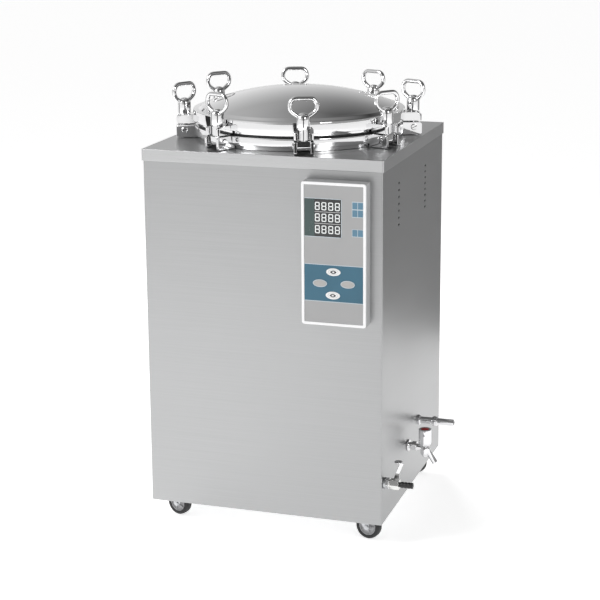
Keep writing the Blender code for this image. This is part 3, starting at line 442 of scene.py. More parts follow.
def make_cover():
    """The deck with its turned-down rim, round-edged, with the hole for the neck."""
    steps = 30
    outer = rounded_rectangle(2 * HALF, 2 * HALF, 0.004, steps // 2 - 1)
    bm = bmesh.new()
    outline = [(x, y) for x, y in outer]
    add_prism(bm, outline, DECK - 0.028, DECK)
    hollow = rounded_rectangle(2 * HALF - 0.003, 2 * HALF - 0.003, 0.0025, 5)
    cutter = add_prism(bmesh.new(), hollow, DECK - 0.05, DECK - 0.0015)
    bm = carved(bm, cutter)
    hole = add_turned(bmesh.new(), [(0, DECK - 0.01), (0.232, DECK - 0.01), (0.232, DECK + 0.01), (0, DECK + 0.01)],
        96)
    bm = carved(bm, hole)
    piece("deck_cover", bm, "cabinet", DECK_STEEL, ["top_cover"], bevel=0.0012, segments=3)


def make_rear():
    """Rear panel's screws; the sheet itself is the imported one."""
    screws = bmesh.new()
    for x in (-0.28, 0.0, 0.28):
        for z in (0.085, 0.49, 0.885):
            head = [(0.0, 0.0022), (0.0022, 0.0020), (0.0036, 0.0010), (0.0038, 0.0), (0.0, 0.0)]
            add_turned(screws, head, 24, at(x, WRAP, z, ALONG_Y))
    piece("rear_screws", screws, "cabinet", ZINC)
    # Dark crosses laid flush on the screw heads: painted shade standing in for recessed cross slots.
    slots = bmesh.new()
    for x in (-0.28, 0.0, 0.28):
        for z in (0.085, 0.49, 0.885):
            for turn in (0, 90):
                matrix = at(x, WRAP + 0.00205, z, ALONG_Y @ Matrix.Rotation(math.radians(turn + 12 * z * 10), 4, "Z"))
                add_box(slots, (-0.0019, -0.0003, -0.0001), (0.0019, 0.0003, 0.0002), matrix)
    piece("rear_screw_crosses", slots, "cabinet", SHADE_BLACK)


# ---------------------------------------------------------------- chamber and lid

def clamp_frame(index):
    joint = JOINTS["clamp_hinge_" + str(index + 1)]
    azimuth = math.radians(FIRST_CLAMP + CLAMP_STEP * index)
    return Matrix.Translation(joint["pos_m"]) @ Matrix.Rotation(azimuth - math.pi / 2, 4, "Z")


def local_clamp_frame(index):
    return CABINET.inverted() @ clamp_frame(index)


def dome_points(edge_radius, edge_height, top_height, steps):
    rise = top_height - edge_height
    ball = (edge_radius**2 + rise**2) / (2 * rise)
    widest = math.asin(edge_radius / ball)
    angles = [widest * i / steps for i in range(steps + 1)]
    return [(ball * math.sin(a), top_height - ball * (1 - math.cos(a))) for a in angles]


def eased(points, radius, steps=3):
    """The same chain of points with its inner corners rounded."""
    out = [points[0]]
    for before, corner, after in zip(points, points[1:], points[2:]):
        b, c, a = Vector(before), Vector(corner), Vector(after)
        cut = min(radius, (b - c).length * 0.45, (a - c).length * 0.45)
        start, end = c + (b - c).normalized() * cut, c + (a - c).normalized() * cut
        for i in range(steps + 1):
            t = i / steps
            out.append(tuple((1 - t) ** 2 * start + 2 * t * (1 - t) * c + t**2 * end))
    return out + [points[-1]]


def make_vessel():
    top, low = FLANGE_TOP, DECK + 0.010
    floor = top - CHAMBER_DEPTH
    inside = [(0.220 * math.sin(math.pi / 2 * i / 10),
        floor - 0.060 * math.cos(math.pi / 2 * i / 10)) for i in range(11)]
    outside = [(0.223 * math.sin(math.pi / 2 * i / 10),
        floor - 0.063 * math.cos(math.pi / 2 * i / 10)) for i in range(11)]
    rim = [(0.220, floor), (0.220, top), (0.255, top), (0.255, low), (0.245, low), (0.245, DECK + 0.0004)]
    rim += [(0.227, DECK + 0.0004), (0.227, DECK - 0.030), (0.223, DECK - 0.034), (0.223, floor)]
    profile = inside[:-1] + eased(rim, 0.0016) + outside[:-1][::-1]
    bm = add_turned(bmesh.new(), profile, 160)
    piece("vessel_body", bm, "cabinet", MIRROR, ["pressure_vessel"])
    ears = bmesh.new()
    for index in range(8):
        for low_y in (-0.0230, 0.0158):
            side = [(-0.034, -0.0190)] + arc((0.0145, -0.0130), 0.0055, -90, 0, 5) + arc((0.0145, 0.0065), 0.0055, 0,
                90, 5)
            side += [(-0.034, 0.0120)]
            matrix = local_clamp_frame(index) @ Matrix.Translation((0, low_y + 0.0072, 0)) @ XZ
            add_prism(ears, side, 0.0, 0.0072, matrix)
    piece("vessel_ears", ears, "cabinet", MIRROR, bevel=0.0008, segments=2)


def make_gasket():
    low, high = DECK + 0.0318, DECK + 0.0360
    profile = [(0.224, low), (0.2462, low), (0.2470, (low + high) / 2), (0.2462, high), (0.224, high)]
    bm = add_turned(bmesh.new(), profile, 160, closed=True)
    piece("seal_ring", bm, "cabinet", SEAL, ["lid_gasket"])


def make_lid():
    dome = dome_points(0.2355, DECK + 0.0775, DECK + 0.121, 30)
    band = [dome[-1], (0.2385, DECK + 0.0765), (0.2450, LID_RING_TOP), (0.2590, LID_RING_TOP),
        (0.2590, LID_RING_BOTTOM)]
    band += [(0.2500, LID_RING_BOTTOM), (0.2500, LID_LIP_BOTTOM), (0.2220, LID_LIP_BOTTOM)]
    inside = dome_points(0.222, DECK + 0.073, DECK + 0.1175, 16)
    profile = dome[:-1] + eased(band, 0.0016) + inside[::-1]
    bm = add_turned(bmesh.new(), profile, 192)
    piece("lid_dome", bm, "lid", MIRROR, ["lid"], sharp=24)
    lugs = bmesh.new()
    for index in range(8):
        outline = [(0.0190, -0.0195), (0.0155, -0.0230), (-0.0270, -0.0230), (-0.0270, 0.0230), (0.0155, 0.0230),
            (0.0190, 0.0195)]
        outline += [(0.0190, 0.0135)] + arc((0, 0), 0.0135, 90, 270, 12) + [(0.0190, -0.0135)]
        shape = add_prism(bmesh.new(), outline, 0.0150, 0.0368)
        everything = list(shape.verts) + list(shape.edges) + list(shape.faces)
        bmesh.ops.bisect_plane(shape, geom=everything, plane_co=(0.0035, 0, 0), plane_no=(1, 0, 0))
        for vert in shape.verts:
            if vert.co.z > 0.03 and vert.co.x > 0.0036:
                vert.co.z -= 0.0056 * (vert.co.x - 0.0035) / 0.0155
        shape.transform(local_clamp_frame(index))
        mesh = bpy.data.meshes.new("lug")
        shape.to_mesh(mesh)
        lugs.from_mesh(mesh)
        shape.free()
        bpy.data.meshes.remove(mesh)
    piece("lid_forks", lugs, "lid", MIRROR, bevel=0.0008, segments=2)


# ---------------------------------------------------------------- clamps

def ring_path():
    """The ring's middle line: up from one side of the boss, over the top and down to the other side."""
    side = [(0.0165 + 0.0150 * math.cos(a),
        0.0915 + 0.0183 * math.sin(a)) for a in [math.radians(-52 + 142 * i / 16) for i in range(17)]]
    half = [(0.0095, 0.0665), (0.0135, 0.0687), (0.0190, 0.0718)] + side + [(0.0110, RING_TOP), (0.0055, RING_TOP)]
    points = [(0.0, y, z) for y, z in half] + [(0.0, 0.0, RING_TOP)] + [(0.0, -y, z) for y, z in reversed(half)]
    return relaxed(points, 2)


def relaxed(points, times):
    """The chain of points with its kinks smoothed and its ends kept."""
    points = [Vector(p) for p in points]
    for _ in range(times):
        points = [points[0]] + [(a + 2 * b + c) / 4 for a, b, c in zip(points, points[1:], points[2:])] + [points[-1]]
    return points


def make_clamps():
    for index in range(8):
        number = str(index + 1)
        matrix = clamp_frame(index)
        bolt = bmesh.new()
        outline = arc((0, 0), 0.0128, 180, 360, 20) + [(0.0128, 0.0122), (-0.0128, 0.0122)]
        add_prism(bolt, outline, -0.0155, 0.0155, XZ)
        add_turned(bolt, [(0, 0.064), (0.0058, 0.064), (0.0070, 0.0626), (0.0070, 0.010), (0, 0.010)], 40)
        piece("swing_bolt_" + number, bolt, "clamp_" + number, MIRROR, ["clamp_bolt_" + number], 0.0008, 2,
            matrix)

        turn = Matrix.Rotation(math.radians(NUT_TURNS[index]), 4, "Z")
        nut = bmesh.new()
        body = [(0, 0.0760), (0.0050, 0.0756), (0.0095, 0.0738), (0.0128, 0.0710), (0.0148, 0.0676), (0.0155, 0.0645)]
        body += [(0.0155, 0.0395), (0.0150, 0.0384), (0.0140, 0.0380), (0.0126, 0.0380), (0.0126, 0.0142),
            (0.0118, 0.0134), (0.0076, 0.0134)]
        body += [(0.0076, 0.065), (0, 0.065)]
        add_turned(nut, body, 48)
        add_tube(nut, ring_path(), 0.0050, 20)
        piece("ring_nut_" + number, nut, "nut_" + number, MIRROR, ["eye_nut_" + number], 0, 2,
            matrix @ turn)

        pin = bmesh.new()
        head = [(0, 0.0263), (0.0058, 0.0263), (0.0072, 0.0252), (0.0075, 0.0240), (0.0075, 0.0233), (0.0050, 0.0233)]
        profile = head + [(radius, -height) for radius, height in reversed(head)]
        add_turned(pin, profile, 32, ALONG_Y)
        piece("hinge_pin_" + number, pin, "cabinet", MIRROR, ["clamp_pin_" + number], 0, 2, matrix)
        # Dark bars laid on the pin's ends: painted shade standing in for recessed slots.
        slot = bmesh.new()
        for side in (-1, 1):
            low, high = sorted((side * 0.0258, side * 0.02635))
            add_box(slot, (-0.0062, low, -0.0007), (0.0062, high, 0.0007))
        piece("pin_slots_" + number, slot, "cabinet", SHADE_BLACK, matrix=matrix @ Matrix.Rotation(0.7 + index, 4, "Y"))


# ---------------------------------------------------------------- control box

def rectangle(x0, z0, x1, z1):
    return [(x0, z0), (x1, z0), (x1, z1), (x0, z1)]


def ellipse(width, height, steps=48):
    return [(width / 2 * math.cos(2 * math.pi * i / steps),
        height / 2 * math.sin(2 * math.pi * i / steps)) for i in range(steps)]


def make_bezel():
    x0, x1, z0, z1 = 0.111, 0.264, 0.548, 0.882
    middle = ((x0 + x1) / 2, (z0 + z1) / 2)
    outer = rounded_rectangle(x1 - x0, z1 - z0, 0.006, 8)
    inner = rounded_rectangle(x1 - x0 - 0.013, z1 - z0 - 0.013, 0.0012, 8)
    bm = ring_pair(bmesh.new(), outer, inner, 0.0, -0.0042, at(middle[0], PANEL_FRONT, middle[1], XZ))
    piece("panel_frame", bm, "cabinet", WHITE, ["control_bezel"], bevel=0.0006, segments=3)


def make_overlay():
    """The grey film, cut out for the window, with its printed band, cells and lines."""
    x0, x1, z0, z1 = 0.1178, 0.2572, 0.5548, 0.8752
    whole = add_prism(bmesh.new(), rectangle(x0, z0, x1, z1), -0.0030, -0.0010, at(0, PANEL_FRONT, 0, XZ))
    cutter = add_prism(bmesh.new(), rectangle(0.1185, 0.7565, 0.2055, 0.8435), -0.01, 0.01, at(0, PANEL_FRONT, 0, XZ))
    for x, z in KEYS.values():
        add_prism(cutter, ellipse(*KEY_HOLE), -0.01, 0.01, at(x, PANEL_FRONT, z, XZ))
    piece("panel_film", carved(whole, cutter), "cabinet", FILM, ["control_overlay"])
    band = add_prism(bmesh.new(), rectangle(x0, 0.6055, x1, 0.6905), -0.0011, -0.00085, at(0, PANEL_FRONT, 0, XZ))
    cutter = bmesh.new()
    for x, z in KEYS.values():
        add_prism(cutter, ellipse(*KEY_HOLE), -0.01, 0.01, at(x, PANEL_FRONT, z, XZ))
    piece("panel_band", carved(band, cutter), "cabinet", BLUE)
    lines = bmesh.new()
    place = at(0, PANEL_FRONT, 0, XZ)
    for z in (0.6040, 0.6905):
        add_prism(lines, rectangle(x0, z, x1, z + 0.0015), -0.0011, -0.00083, place)
    add_prism(lines, rectangle(0.1183, 0.8436, 0.2070, 0.8450), -0.0011, -0.00083, place)
    add_prism(lines, rectangle(0.2056, 0.7550, 0.2070, 0.8450), -0.0011, -0.00083, place)
    add_prism(lines, rectangle(0.1183, 0.7550, 0.2070, 0.7564), -0.0011, -0.00083, place)
    piece("panel_lines", lines, "cabinet", PALE)
    cells, edges = bmesh.new(), bmesh.new()
    for low, high in ((0.8055, 0.8405), (0.7605, 0.7770)):
        add_prism(edges, rectangle(0.2310, low - 0.0006, x1, high + 0.0006), -0.0011, -0.00083, place)
    for z in (0.8063, 0.8240, 0.7612):
        for x in (0.2320, 0.2450):
            add_prism(cells, rectangle(x, z, x + 0.0118, z + 0.0155), -0.0011, -0.00075, place)
    piece("panel_cell_edges", edges, "cabinet", PALE)
    piece("panel_cells", cells, "cabinet", CELL)


def digit_shapes(bm, x, z, width, height, place):
    """A figure eight of seven bars round two small gaps."""
    bar = 0.0020
    half = height / 2
    gap = 0.00025
    for middle in (half - bar / 2, 0.0, -half + bar / 2):
        reach = width / 2 - gap - 0.0006
        outline = [(x - reach, z + middle), (x - reach + bar / 2, z + middle + bar / 2),
            (x + reach - bar / 2, z + middle + bar / 2)]
        outline += [(x + reach, z + middle), (x + reach - bar / 2, z + middle - bar / 2),
            (x - reach + bar / 2, z + middle - bar / 2)]
        add_prism(bm, outline, -0.0011, -0.00055, place)
    for side in (-1, 1):
        across = x + side * (width / 2 - bar / 2)
        for low, high in ((gap, half - gap - 0.0004), (-half + gap + 0.0004, -gap)):
            outline = [(across, z + low), (across + bar / 2, z + low + bar / 2),
                (across + bar / 2, z + high - bar / 2)]
            outline += [(across, z + high), (across - bar / 2, z + high - bar / 2),
                (across - bar / 2, z + low + bar / 2)]
            add_prism(bm, outline, -0.0011, -0.00055, place)


def make_display():
    place = at(0, PANEL_FRONT, 0, XZ)
    window = add_prism(bmesh.new(), rectangle(0.1188, 0.7568, 0.2052, 0.8432), -0.0040, -0.00095, place)
    piece("window_pane", window, "cabinet", WINDOW, ["display_window"], bevel=0.0003)
    tint = add_prism(bmesh.new(), rectangle(0.1190, 0.7572, 0.1425, 0.8428), -0.0011, -0.00080, place)
    piece("window_tint", tint, "cabinet", WINDOW_TINT)
    digits, rules = bmesh.new(), bmesh.new()
    left, right, low, high = 0.1185, 0.2055, 0.7565, 0.8435
    for share in (0.19, 0.495, 0.81):
        z = high - (high - low) * share
        for across in (0.355, 0.535, 0.72, 0.90):
            digit_shapes(digits, left + (right - left) * across, z, 0.0112, 0.0185, place)
    for share in (0.342, 0.652):
        z = high - (high - low) * share
        add_prism(rules, rectangle(0.1430, z - 0.0006, 0.2045, z + 0.0006), -0.0011, -0.00060, place)
    piece("window_digits", digits, "cabinet", DIGIT)
    piece("window_rules", rules, "cabinet", KEY_RING)


def make_keys():
    for name, (x, z) in KEYS.items():
        white = name in ("key_up", "key_down")
        place = at(x, PANEL_FRONT, z, XZ)
        cap = bmesh.new()
        layers = ((0.0340, 0.0180, 0.0040), (0.0340, 0.0180, 0.0007), (0.0332, 0.0172, 0.0003),
            (0.0316, 0.0156, 0.0002))
        rings = []
        for width, height, depth in layers:
            rings.append([cap.verts.new(place @ Vector((px, pz, -depth))) for px, pz in ellipse(width, height)])
        cap.faces.new(rings[0])
        cap.faces.new(rings[-1])
        for first, second in zip(rings, rings[1:]):
            for i in range(len(first)):
                j = (i + 1) % len(first)
                cap.faces.new((first[i], first[j], second[j], second[i]))
        piece(name + "_cap", cap, name, KEY_WHITE if white else GREY_KEY, [name])
        if white:
            ring = ring_pair(bmesh.new(), ellipse(0.0240, 0.0118), ellipse(0.0220, 0.0102), -0.0003, -0.00006, place)
            piece(name + "_ring", ring, name, KEY_RING)
            ring_bm = ring_pair(bmesh.new(), eye_outline(0.0150, 0.0080), ellipse(0.0052, 0.0040), -0.0003, -0.00004,
                place)
            piece(name + "_eye", ring_bm, name, KEY_INK)
        else:
            ring = ring_pair(bmesh.new(), ellipse(0.0336, 0.0176), ellipse(0.0304, 0.0146), -0.0007, -0.00004, place)
            piece(name + "_border", ring, name, PALE, bevel=0.0002)


def eye_outline(width, height, steps=48):
    """A pointed oval."""
    points = []
    for i in range(steps):
        a = 2 * math.pi * i / steps
        points.append((width / 2 * math.cos(a), height / 2 * math.sin(a) * (1 - 0.45 * abs(math.cos(a)) ** 1.5)))
    return points


# ---------------------------------------------------------------- casters

def make_casters():
    for place in ("front_left", "front_right", "rear_left", "rear_right"):
        roll = JOINTS["roll_" + place]
        swivel = JOINTS["swivel_" + place]
        axis = Vector(roll["axis"])
        heading = math.atan2(-axis.x, axis.y)
        wheel_matrix = Matrix.Translation(roll["pos_m"]) @ Matrix.Rotation(heading, 4, "Z") @ XZ
        tread = [(0.0310, 0.0), (0.0309, 0.0045), (0.0303, 0.0080), (0.0288, 0.0102), (0.0265, 0.0110),
            (0.0228, 0.0110), (0.0215, 0.0098)]
        tyre = bmesh.new()
        profile = [(r, -w) for r, w in reversed(tread)] + tread[1:]
        add_turned(tyre, profile, 72, closed=True)
        node = "caster_wheel_" + place
        piece("tyre_" + place, tyre, "wheel_" + place, TYRE, [node], matrix=wheel_matrix)
        hub = bmesh.new()
        face = [(0.0218, 0.0092), (0.0205, 0.0100), (0.0192, 0.0092), (0.0180, 0.0066), (0.0110, 0.0060),
            (0.0092, 0.0070), (0.0086, 0.0098), (0.0072, 0.0104), (0.0045, 0.0100)]
        profile = face + [(r, -w) for r, w in reversed(face)]
        add_turned(hub, profile, 64, closed=True)
        for i in range(5):
            spin = Matrix.Rotation(2 * math.pi * i / 5, 4, "Z")
            for side in (-1, 1):
                low, high = sorted((side * 0.0050, side * 0.0088))
                add_box(hub, (0.0085, -0.0011, low), (0.0195, 0.0011, high), spin)
        piece("hub_" + place, hub, "wheel_" + place, HUB, bevel=0.0003, matrix=wheel_matrix)

        head = Matrix.Translation((swivel["pos_m"][0], swivel["pos_m"][1], 0)) @ Matrix.Rotation(heading, 4, "Z")
        fork = bmesh.new()
        race = [(0, 0.0797), (0.0150, 0.0797), (0.0200, 0.0780), (0.0208, 0.0755), (0.0208, 0.0725), (0.0190, 0.0712),
            (0.0200, 0.0700), (0.0205, 0.0680), (0.0190, 0.0655), (0, 0.0655)]
        add_turned(fork, race, 48)
        outline = arc((0.022, 0.031), 0.0080, -165, -15, 12) + [(0.0262, 0.0560), (0.0262, 0.0680), (-0.0120, 0.0680),
            (-0.0120, 0.0630)]
        for side in (-1, 1):
            low, high = sorted((side * 0.0127, side * 0.0149))
            add_prism(fork, outline, low, high, XZ)
        add_box(fork, (-0.0120, -0.0149, 0.0655), (0.0262, 0.0149, 0.0680))
        hexagon = [(0.0066 * math.cos(math.radians(60 * i)),
            0.0066 * math.sin(math.radians(60 * i))) for i in range(6)]
        add_turned(fork, [(0, -0.0178), (0.0036, -0.0178), (0.0039, -0.0172), (0.0039, 0.0172), (0.0036, 0.0178),
            (0, 0.0178)], 24, at(0.022, 0, 0.031, XZ))
        for side in (-1, 1):
            low, high = sorted((side * 0.0148, side * 0.0172))
            add_prism(fork, hexagon, low, high, at(0.022, 0, 0.031, XZ))
        piece("fork_" + place, fork, "caster_" + place, ZINC, ["caster_fork_" + place], 0.0005, 2, head)


# ---------------------------------------------------------------- fittings

def hexagon(radius, turn=0.0):
    return [(radius * math.cos(math.radians(60 * i + turn)),
        radius * math.sin(math.radians(60 * i + turn))) for i in range(6)]


def make_drain_valve():
    """A ball valve: wall flange, lock nut, hexagon body, stem with its nut, lever with a round pad, and a black tail."""
    y, z, x = -0.270, 0.156, WRAP
    along = at(x, y, z, ALONG_X)
    pipe = bmesh.new()
    path = [(x + 0.010, y, z), (x - 0.040, y, z), (x - 0.047, y + 0.003, z), (x - 0.052, y + 0.012, z),
        (0.062, -0.028, z)]
    path += [(0.012, -0.004, z), (0.004, -0.001, z + 0.003), (0.0, 0.0, z + 0.012),
        (0.0, 0.0, FLANGE_TOP - CHAMBER_DEPTH - 0.066)]
    add_tube(pipe, path, 0.006, 16)
    piece("drain_pipe", pipe, "cabinet", NICKEL, ["drain_valve_body"])
    flange = add_turned(bmesh.new(), [(0, 0.0003), (0.0128, 0.0003), (0.0136, 0.0012), (0.0136, 0.0052),
        (0.0126, 0.0062), (0, 0.0062)], 48, along)
    piece("drain_flange", flange, "cabinet", ZINC)
    nut = add_prism(bmesh.new(), hexagon(0.0138, 30), 0.0060, 0.0136, along)
    piece("drain_lock_nut", nut, "cabinet", CHROME, bevel=0.0007)
    body = add_turned(bmesh.new(), [(0, 0.0130), (0.0104, 0.0130), (0.0104, 0.0170), (0, 0.0170)], 40, along)
    add_prism(body, hexagon(0.0135, 30), 0.0164, 0.0376, along)
    add_turned(body, [(0, 0.0), (0.0062, 0.0), (0.0062, 0.0165), (0.0044, 0.0170), (0.0044, 0.0205), (0, 0.0205)], 32,
        at(x + 0.025, y, z, ALONG_Y))
    piece("drain_body", body, "cabinet", NICKEL, bevel=0.0007)

    lever = bmesh.new()
    middle = (x + 0.025, y + 0.0180, z)
    spine = [(0.0, 0.0), (0.0012, 0.010), (0.0040, 0.022), (0.0085, 0.034), (0.0125, 0.0430), (0.0130, 0.0470)]
    half = [0.0072, 0.0060, 0.0046, 0.0044, 0.0044, 0.0036]
    left = [(sx - h, sz) for (sx, sz), h in zip(spine, half)]
    right = [(sx + h, sz) for (sx, sz), h in zip(spine, half)]
    outline = arc((0, 0), 0.0074, 200, 340, 12) + right + left[::-1]
    add_prism(lever, outline, -0.0012, 0.0012, at(*middle, XZ))
    add_turned(lever, [(0, 0.0500), (0.0086, 0.0500), (0.0099, 0.0491), (0.0099, 0.0476), (0.0088, 0.0467),
        (0, 0.0467)], 40, at(middle[0] + 0.0050, middle[1] + 0.0015, middle[2]))
    piece("drain_lever", lever, "drain_lever", CHROME, ["drain_valve_lever"], 0.0005, 2)
    stem = add_prism(bmesh.new(), hexagon(0.0052, 0), 0.0194, 0.0215, at(x + 0.025, y, z, ALONG_Y))
    piece("drain_stem_nut", stem, "cabinet", ZINC, bevel=0.0005)

    tail = [(0.0058, 0.0342), (0.0058, 0.0380), (0.0064, 0.0395)]
    for i in range(3):
        tail += [(0.0064, 0.0412 + 0.008 * i), (0.0074, 0.0440 + 0.008 * i), (0.0074, 0.0466 + 0.008 * i),
            (0.0066, 0.0478 + 0.008 * i)]
    tail += [(0.0073, 0.0680), (0.0072, 0.0702), (0.0066, 0.0706), (0.0042, 0.0706), (0.0042, 0.0360)]
    bm = add_turned(bmesh.new(), tail, 40, along, closed=True)
    piece("drain_tail", bm, "cabinet", BLACK, ["drain_hose_tail"])


def make_tap():
    """Inlet with its hexagon, barrel, sloping spout and a tall knob with a red top."""
    y, z, x = -0.042, 0.172, WRAP
    axis = x + 0.043
    along = at(x, y, z, ALONG_X)
    body = bmesh.new()
    add_turned(body, [(0, -0.030), (0.0075, -0.030), (0.0075, 0.0003), (0.0140, 0.0003), (0.0150, 0.0012),
        (0.0142, 0.0036), (0.0082, 0.0046), (0.0082, 0.0120), (0, 0.0120)], 48, along)
    add_prism(body, hexagon(0.0118, 0), 0.0115, 0.0225, along)
    add_turned(body, [(0, 0.020), (0.0088, 0.020), (0.0076, 0.0262), (0.0058, 0.0300), (0.0058, 0.0430), (0, 0.0430)],
        40, at(x, y, z - 0.002, ALONG_X))
    barrel = [(0, 0.0035), (0.0100, 0.0035), (0.0108, 0.0022), (0.0110, -0.0150), (0.0100, -0.0190),
        (0.0068, -0.0215), (0.0064, -0.0240), (0.0050, -0.0248), (0, -0.0248)]
    add_turned(body, barrel, 48, at(axis, y, z))
    add_turned(body, [(0, 0.030), (0.0040, 0.030), (0.0040, 0.0), (0, 0.0)], 24, at(axis, y, z))
    piece("tap_body", body, "cabinet", CHROME, ["exhaust_tap_body"], 0.0005, 2)
    slope = Matrix.Rotation(math.radians(90 + 57), 4, "Y")
    start = at(axis + 0.004, y, z - 0.004, slope)
    spout = [(0.0048, 0.0120), (0.0048, 0.0410), (0.0064, 0.0411), (0.0071, 0.0404), (0.0072, 0.0385),
        (0.0070, 0.0060), (0.0082, 0.0040), (0.0084, 0.0), (0.0048, 0.0)]
    piece("tap_spout", add_turned(bmesh.new(), spout, 40, start, closed=True), "cabinet", CHROME)

    knob = bmesh.new()
    low, high = z + 0.0048, z + 0.0465
    profile = [(0, high - 0.0030), (0.0105, high - 0.0030), (0.0106, high - 0.0003), (0.0110, high), (0.0146, high),
        (0.0155, high - 0.0006), (0.0158, high - 0.0016)]
    profile += [(0.0158, low + 0.0075), (0.0152, low + 0.0045), (0.0130, low + 0.0006), (0.0122, low), (0.0046, low),
        (0.0046, low + 0.026), (0, low + 0.026)]
    add_turned(knob, profile, 64, at(axis, y, 0))
    piece("tap_knob", knob, "tap_knob", CHROME, ["exhaust_tap_knob"], 0, 2)
    cap = [(0, high + 0.0005), (0.0086, high + 0.0004), (0.0099, high - 0.0002), (0.0102, high - 0.0028),
        (0, high - 0.0028)]
    piece("tap_cap", add_turned(bmesh.new(), cap, 48, at(axis, y, 0)), "tap_knob", RED, ["exhaust_tap_cap"], 0, 2)


def make_nozzle():
    along = at(WRAP, 0.061, 0.205, ALONG_X)
    profile = [(0.0060, -0.030), (0.0060, 0.0925), (0.0076, 0.0925), (0.0083, 0.0919), (0.0085, 0.0908),
        (0.0085, 0.0545)]
    profile += [(0.0085, 0.0510), (0.0104, 0.0505), (0.0115, 0.0496), (0.0115, 0.0482), (0.0106, 0.0474),
        (0.0118, 0.0464), (0.0122, 0.0452)]
    profile += [(0.0122, 0.0408), (0.0118, 0.0396), (0.0104, 0.0388), (0.0104, 0.0372), (0.0096, 0.0362),
        (0.0085, 0.0352)]
    profile += [(0.0085, 0.0070), (0.0105, 0.0060), (0.0125, 0.0050), (0.0125, 0.0003), (0.0085, 0.0003),
        (0.0085, -0.030)]
    piece("steam_pipe", add_turned(bmesh.new(), profile, 56, along, closed=True), "cabinet", CHROME, ["steam_nozzle"])
    grooves = bmesh.new()
    for i in range(24):
        spin = Matrix.Rotation(2 * math.pi * i / 24, 4, "Z")
        add_box(grooves, (0.0117, -0.0004, 0.0412), (0.01235, 0.0004, 0.0448), along @ spin)
    piece("steam_pipe_knurl", grooves, "cabinet", ZINC)


def make_gland():
    along = at(-0.200, WRAP, 0.150, ALONG_Y)
    gland = bmesh.new()
    profile = [(0.0055, -0.012), (0.0055, 0.0275), (0.0078, 0.0280), (0.0092, 0.0268), (0.0112, 0.0200),
        (0.0122, 0.0165)]
    profile += [(0.0122, 0.0060), (0.0105, 0.0060), (0.0105, -0.012)]
    add_turned(gland, profile, 40, along, closed=True)
    add_prism(gland, hexagon(0.0152, 0), 0.0004, 0.0062, along)
    for i in range(12):
        add_box(gland, (0.0115, -0.0010, 0.0075), (0.0126, 0.0010, 0.0155),
            along @ Matrix.Rotation(2 * math.pi * i / 12, 4, "Z"))
    piece("lead_gland", gland, "cabinet", BLACK, ["cable_gland"], 0.0003, 2)
    # A black disc filling the gland's bore: painted shade for the dark hole.
    bore = add_turned(bmesh.new(), [(0, 0.0), (0.0054, 0.0), (0.0054, 0.002), (0, 0.002)], 24, along)
    piece("lead_gland_bore", bore, "cabinet", SHADE_BLACK)


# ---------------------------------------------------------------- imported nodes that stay

def dress_nodes():
    kept = {
        "rear_panel": REAR_STEEL, "base_tray": TRAY_STEEL, "vessel_skirt": REAR_STEEL, "heating_element": HEATER,
        "chamber_rack": BASKET_STEEL, "sterilizing_basket": BASKET_STEEL, "control_housing": HOUSING,
        "control_board": BOARD,
    }
    for name, material in kept.items():
        obj = NODES[name]
        for slot in obj.material_slots:
            slot.material = material
    for name, width in (("rear_panel", 0.0004), ("base_tray", 0.0006), ("control_housing", 0.0012)):
        add_bevel(NODES[name], width, 3 if name == "control_housing" else 2, 60)


# ---------------------------------------------------------------- stage, light and camera

def plain(name, colour, roughness=0.9):
    return Nodes(name, colour, roughness).material


def card(name, corners, colour):
    """A studio flag or reflector. It shows in reflections only."""
    mesh = bpy.data.meshes.new(name)
    mesh.from_pydata([Vector(c) for c in corners], [], [(0, 1, 2, 3)])
    obj = bpy.data.objects.new(name, mesh)
    bpy.context.scene.collection.objects.link(obj)
    mesh.materials.append(plain(name, colour))
    obj.visible_camera = False
    obj.visible_diffuse = False
    obj.visible_shadow = False
    return obj


def area_light(name, location, target, size, power, colour=(1, 1, 1), glossy=True):
    data = bpy.data.lights.new(name, "AREA")
    data.shape = "RECTANGLE"
    data.size, data.size_y = size
    data.energy = power
    data.color = colour
    obj = bpy.data.objects.new(name, data)
    obj.location = location
    obj.rotation_euler = (Vector(target) - Vector(location)).to_track_quat("-Z", "Y").to_euler()
    obj.visible_glossy = glossy
    bpy.context.scene.collection.objects.link(obj)
    return obj


def make_world():
    """A studio's walls and ceiling: pale low down, darker above on the right and behind, for contrast in the steel."""
    world = bpy.data.worlds.new("studio")
    bpy.context.scene.world = world
    world.use_nodes = True
    tree = world.node_tree
    background = tree.nodes["Background"]
    coordinates = tree.nodes.new("ShaderNodeTexCoord")
    split = tree.nodes.new("ShaderNodeSeparateXYZ")
    tree.links.new(coordinates.outputs["Generated"], split.inputs[0])
    ramps = []
    left = ((0.0, 0.95), (0.10, 1.00), (0.30, 0.80), (0.55, 0.55), (0.80, 0.60), (1.0, 0.70))
    right = ((0.0, 0.42), (0.14, 0.40), (0.30, 0.34), (0.46, 0.20), (0.70, 0.05), (1.0, 0.30))
    for stops in (left, right):
        ramp = tree.nodes.new("ShaderNodeValToRGB")
        tree.links.new(split.outputs["Z"], ramp.inputs[0])
        elements = ramp.color_ramp.elements
        elements[0].position, elements[0].color = stops[0][0], (*[stops[0][1]] * 3, 1)
        elements[1].position, elements[1].color = stops[-1][0], (*[stops[-1][1]] * 3, 1)
        for position, value in stops[1:-1]:
            elements.new(position).color = (value, value, value, 1)
        ramps.append(ramp)
    side = tree.nodes.new("ShaderNodeMapRange")
    side.inputs["From Min"].default_value = -0.55
    side.inputs["From Max"].default_value = 0.05
    side.interpolation_type = "SMOOTHSTEP"
    tree.links.new(split.outputs["X"], side.inputs["Value"])
    mix = tree.nodes.new("ShaderNodeMix")
    mix.data_type = "RGBA"
    tree.links.new(side.outputs["Result"], mix.inputs[0])
    tree.links.new(ramps[0].outputs[0], mix.inputs[6])
    tree.links.new(ramps[1].outputs[0], mix.inputs[7])
    tree.links.new(mix.outputs[2], background.inputs[0])
    background.inputs[1].default_value = 0.9


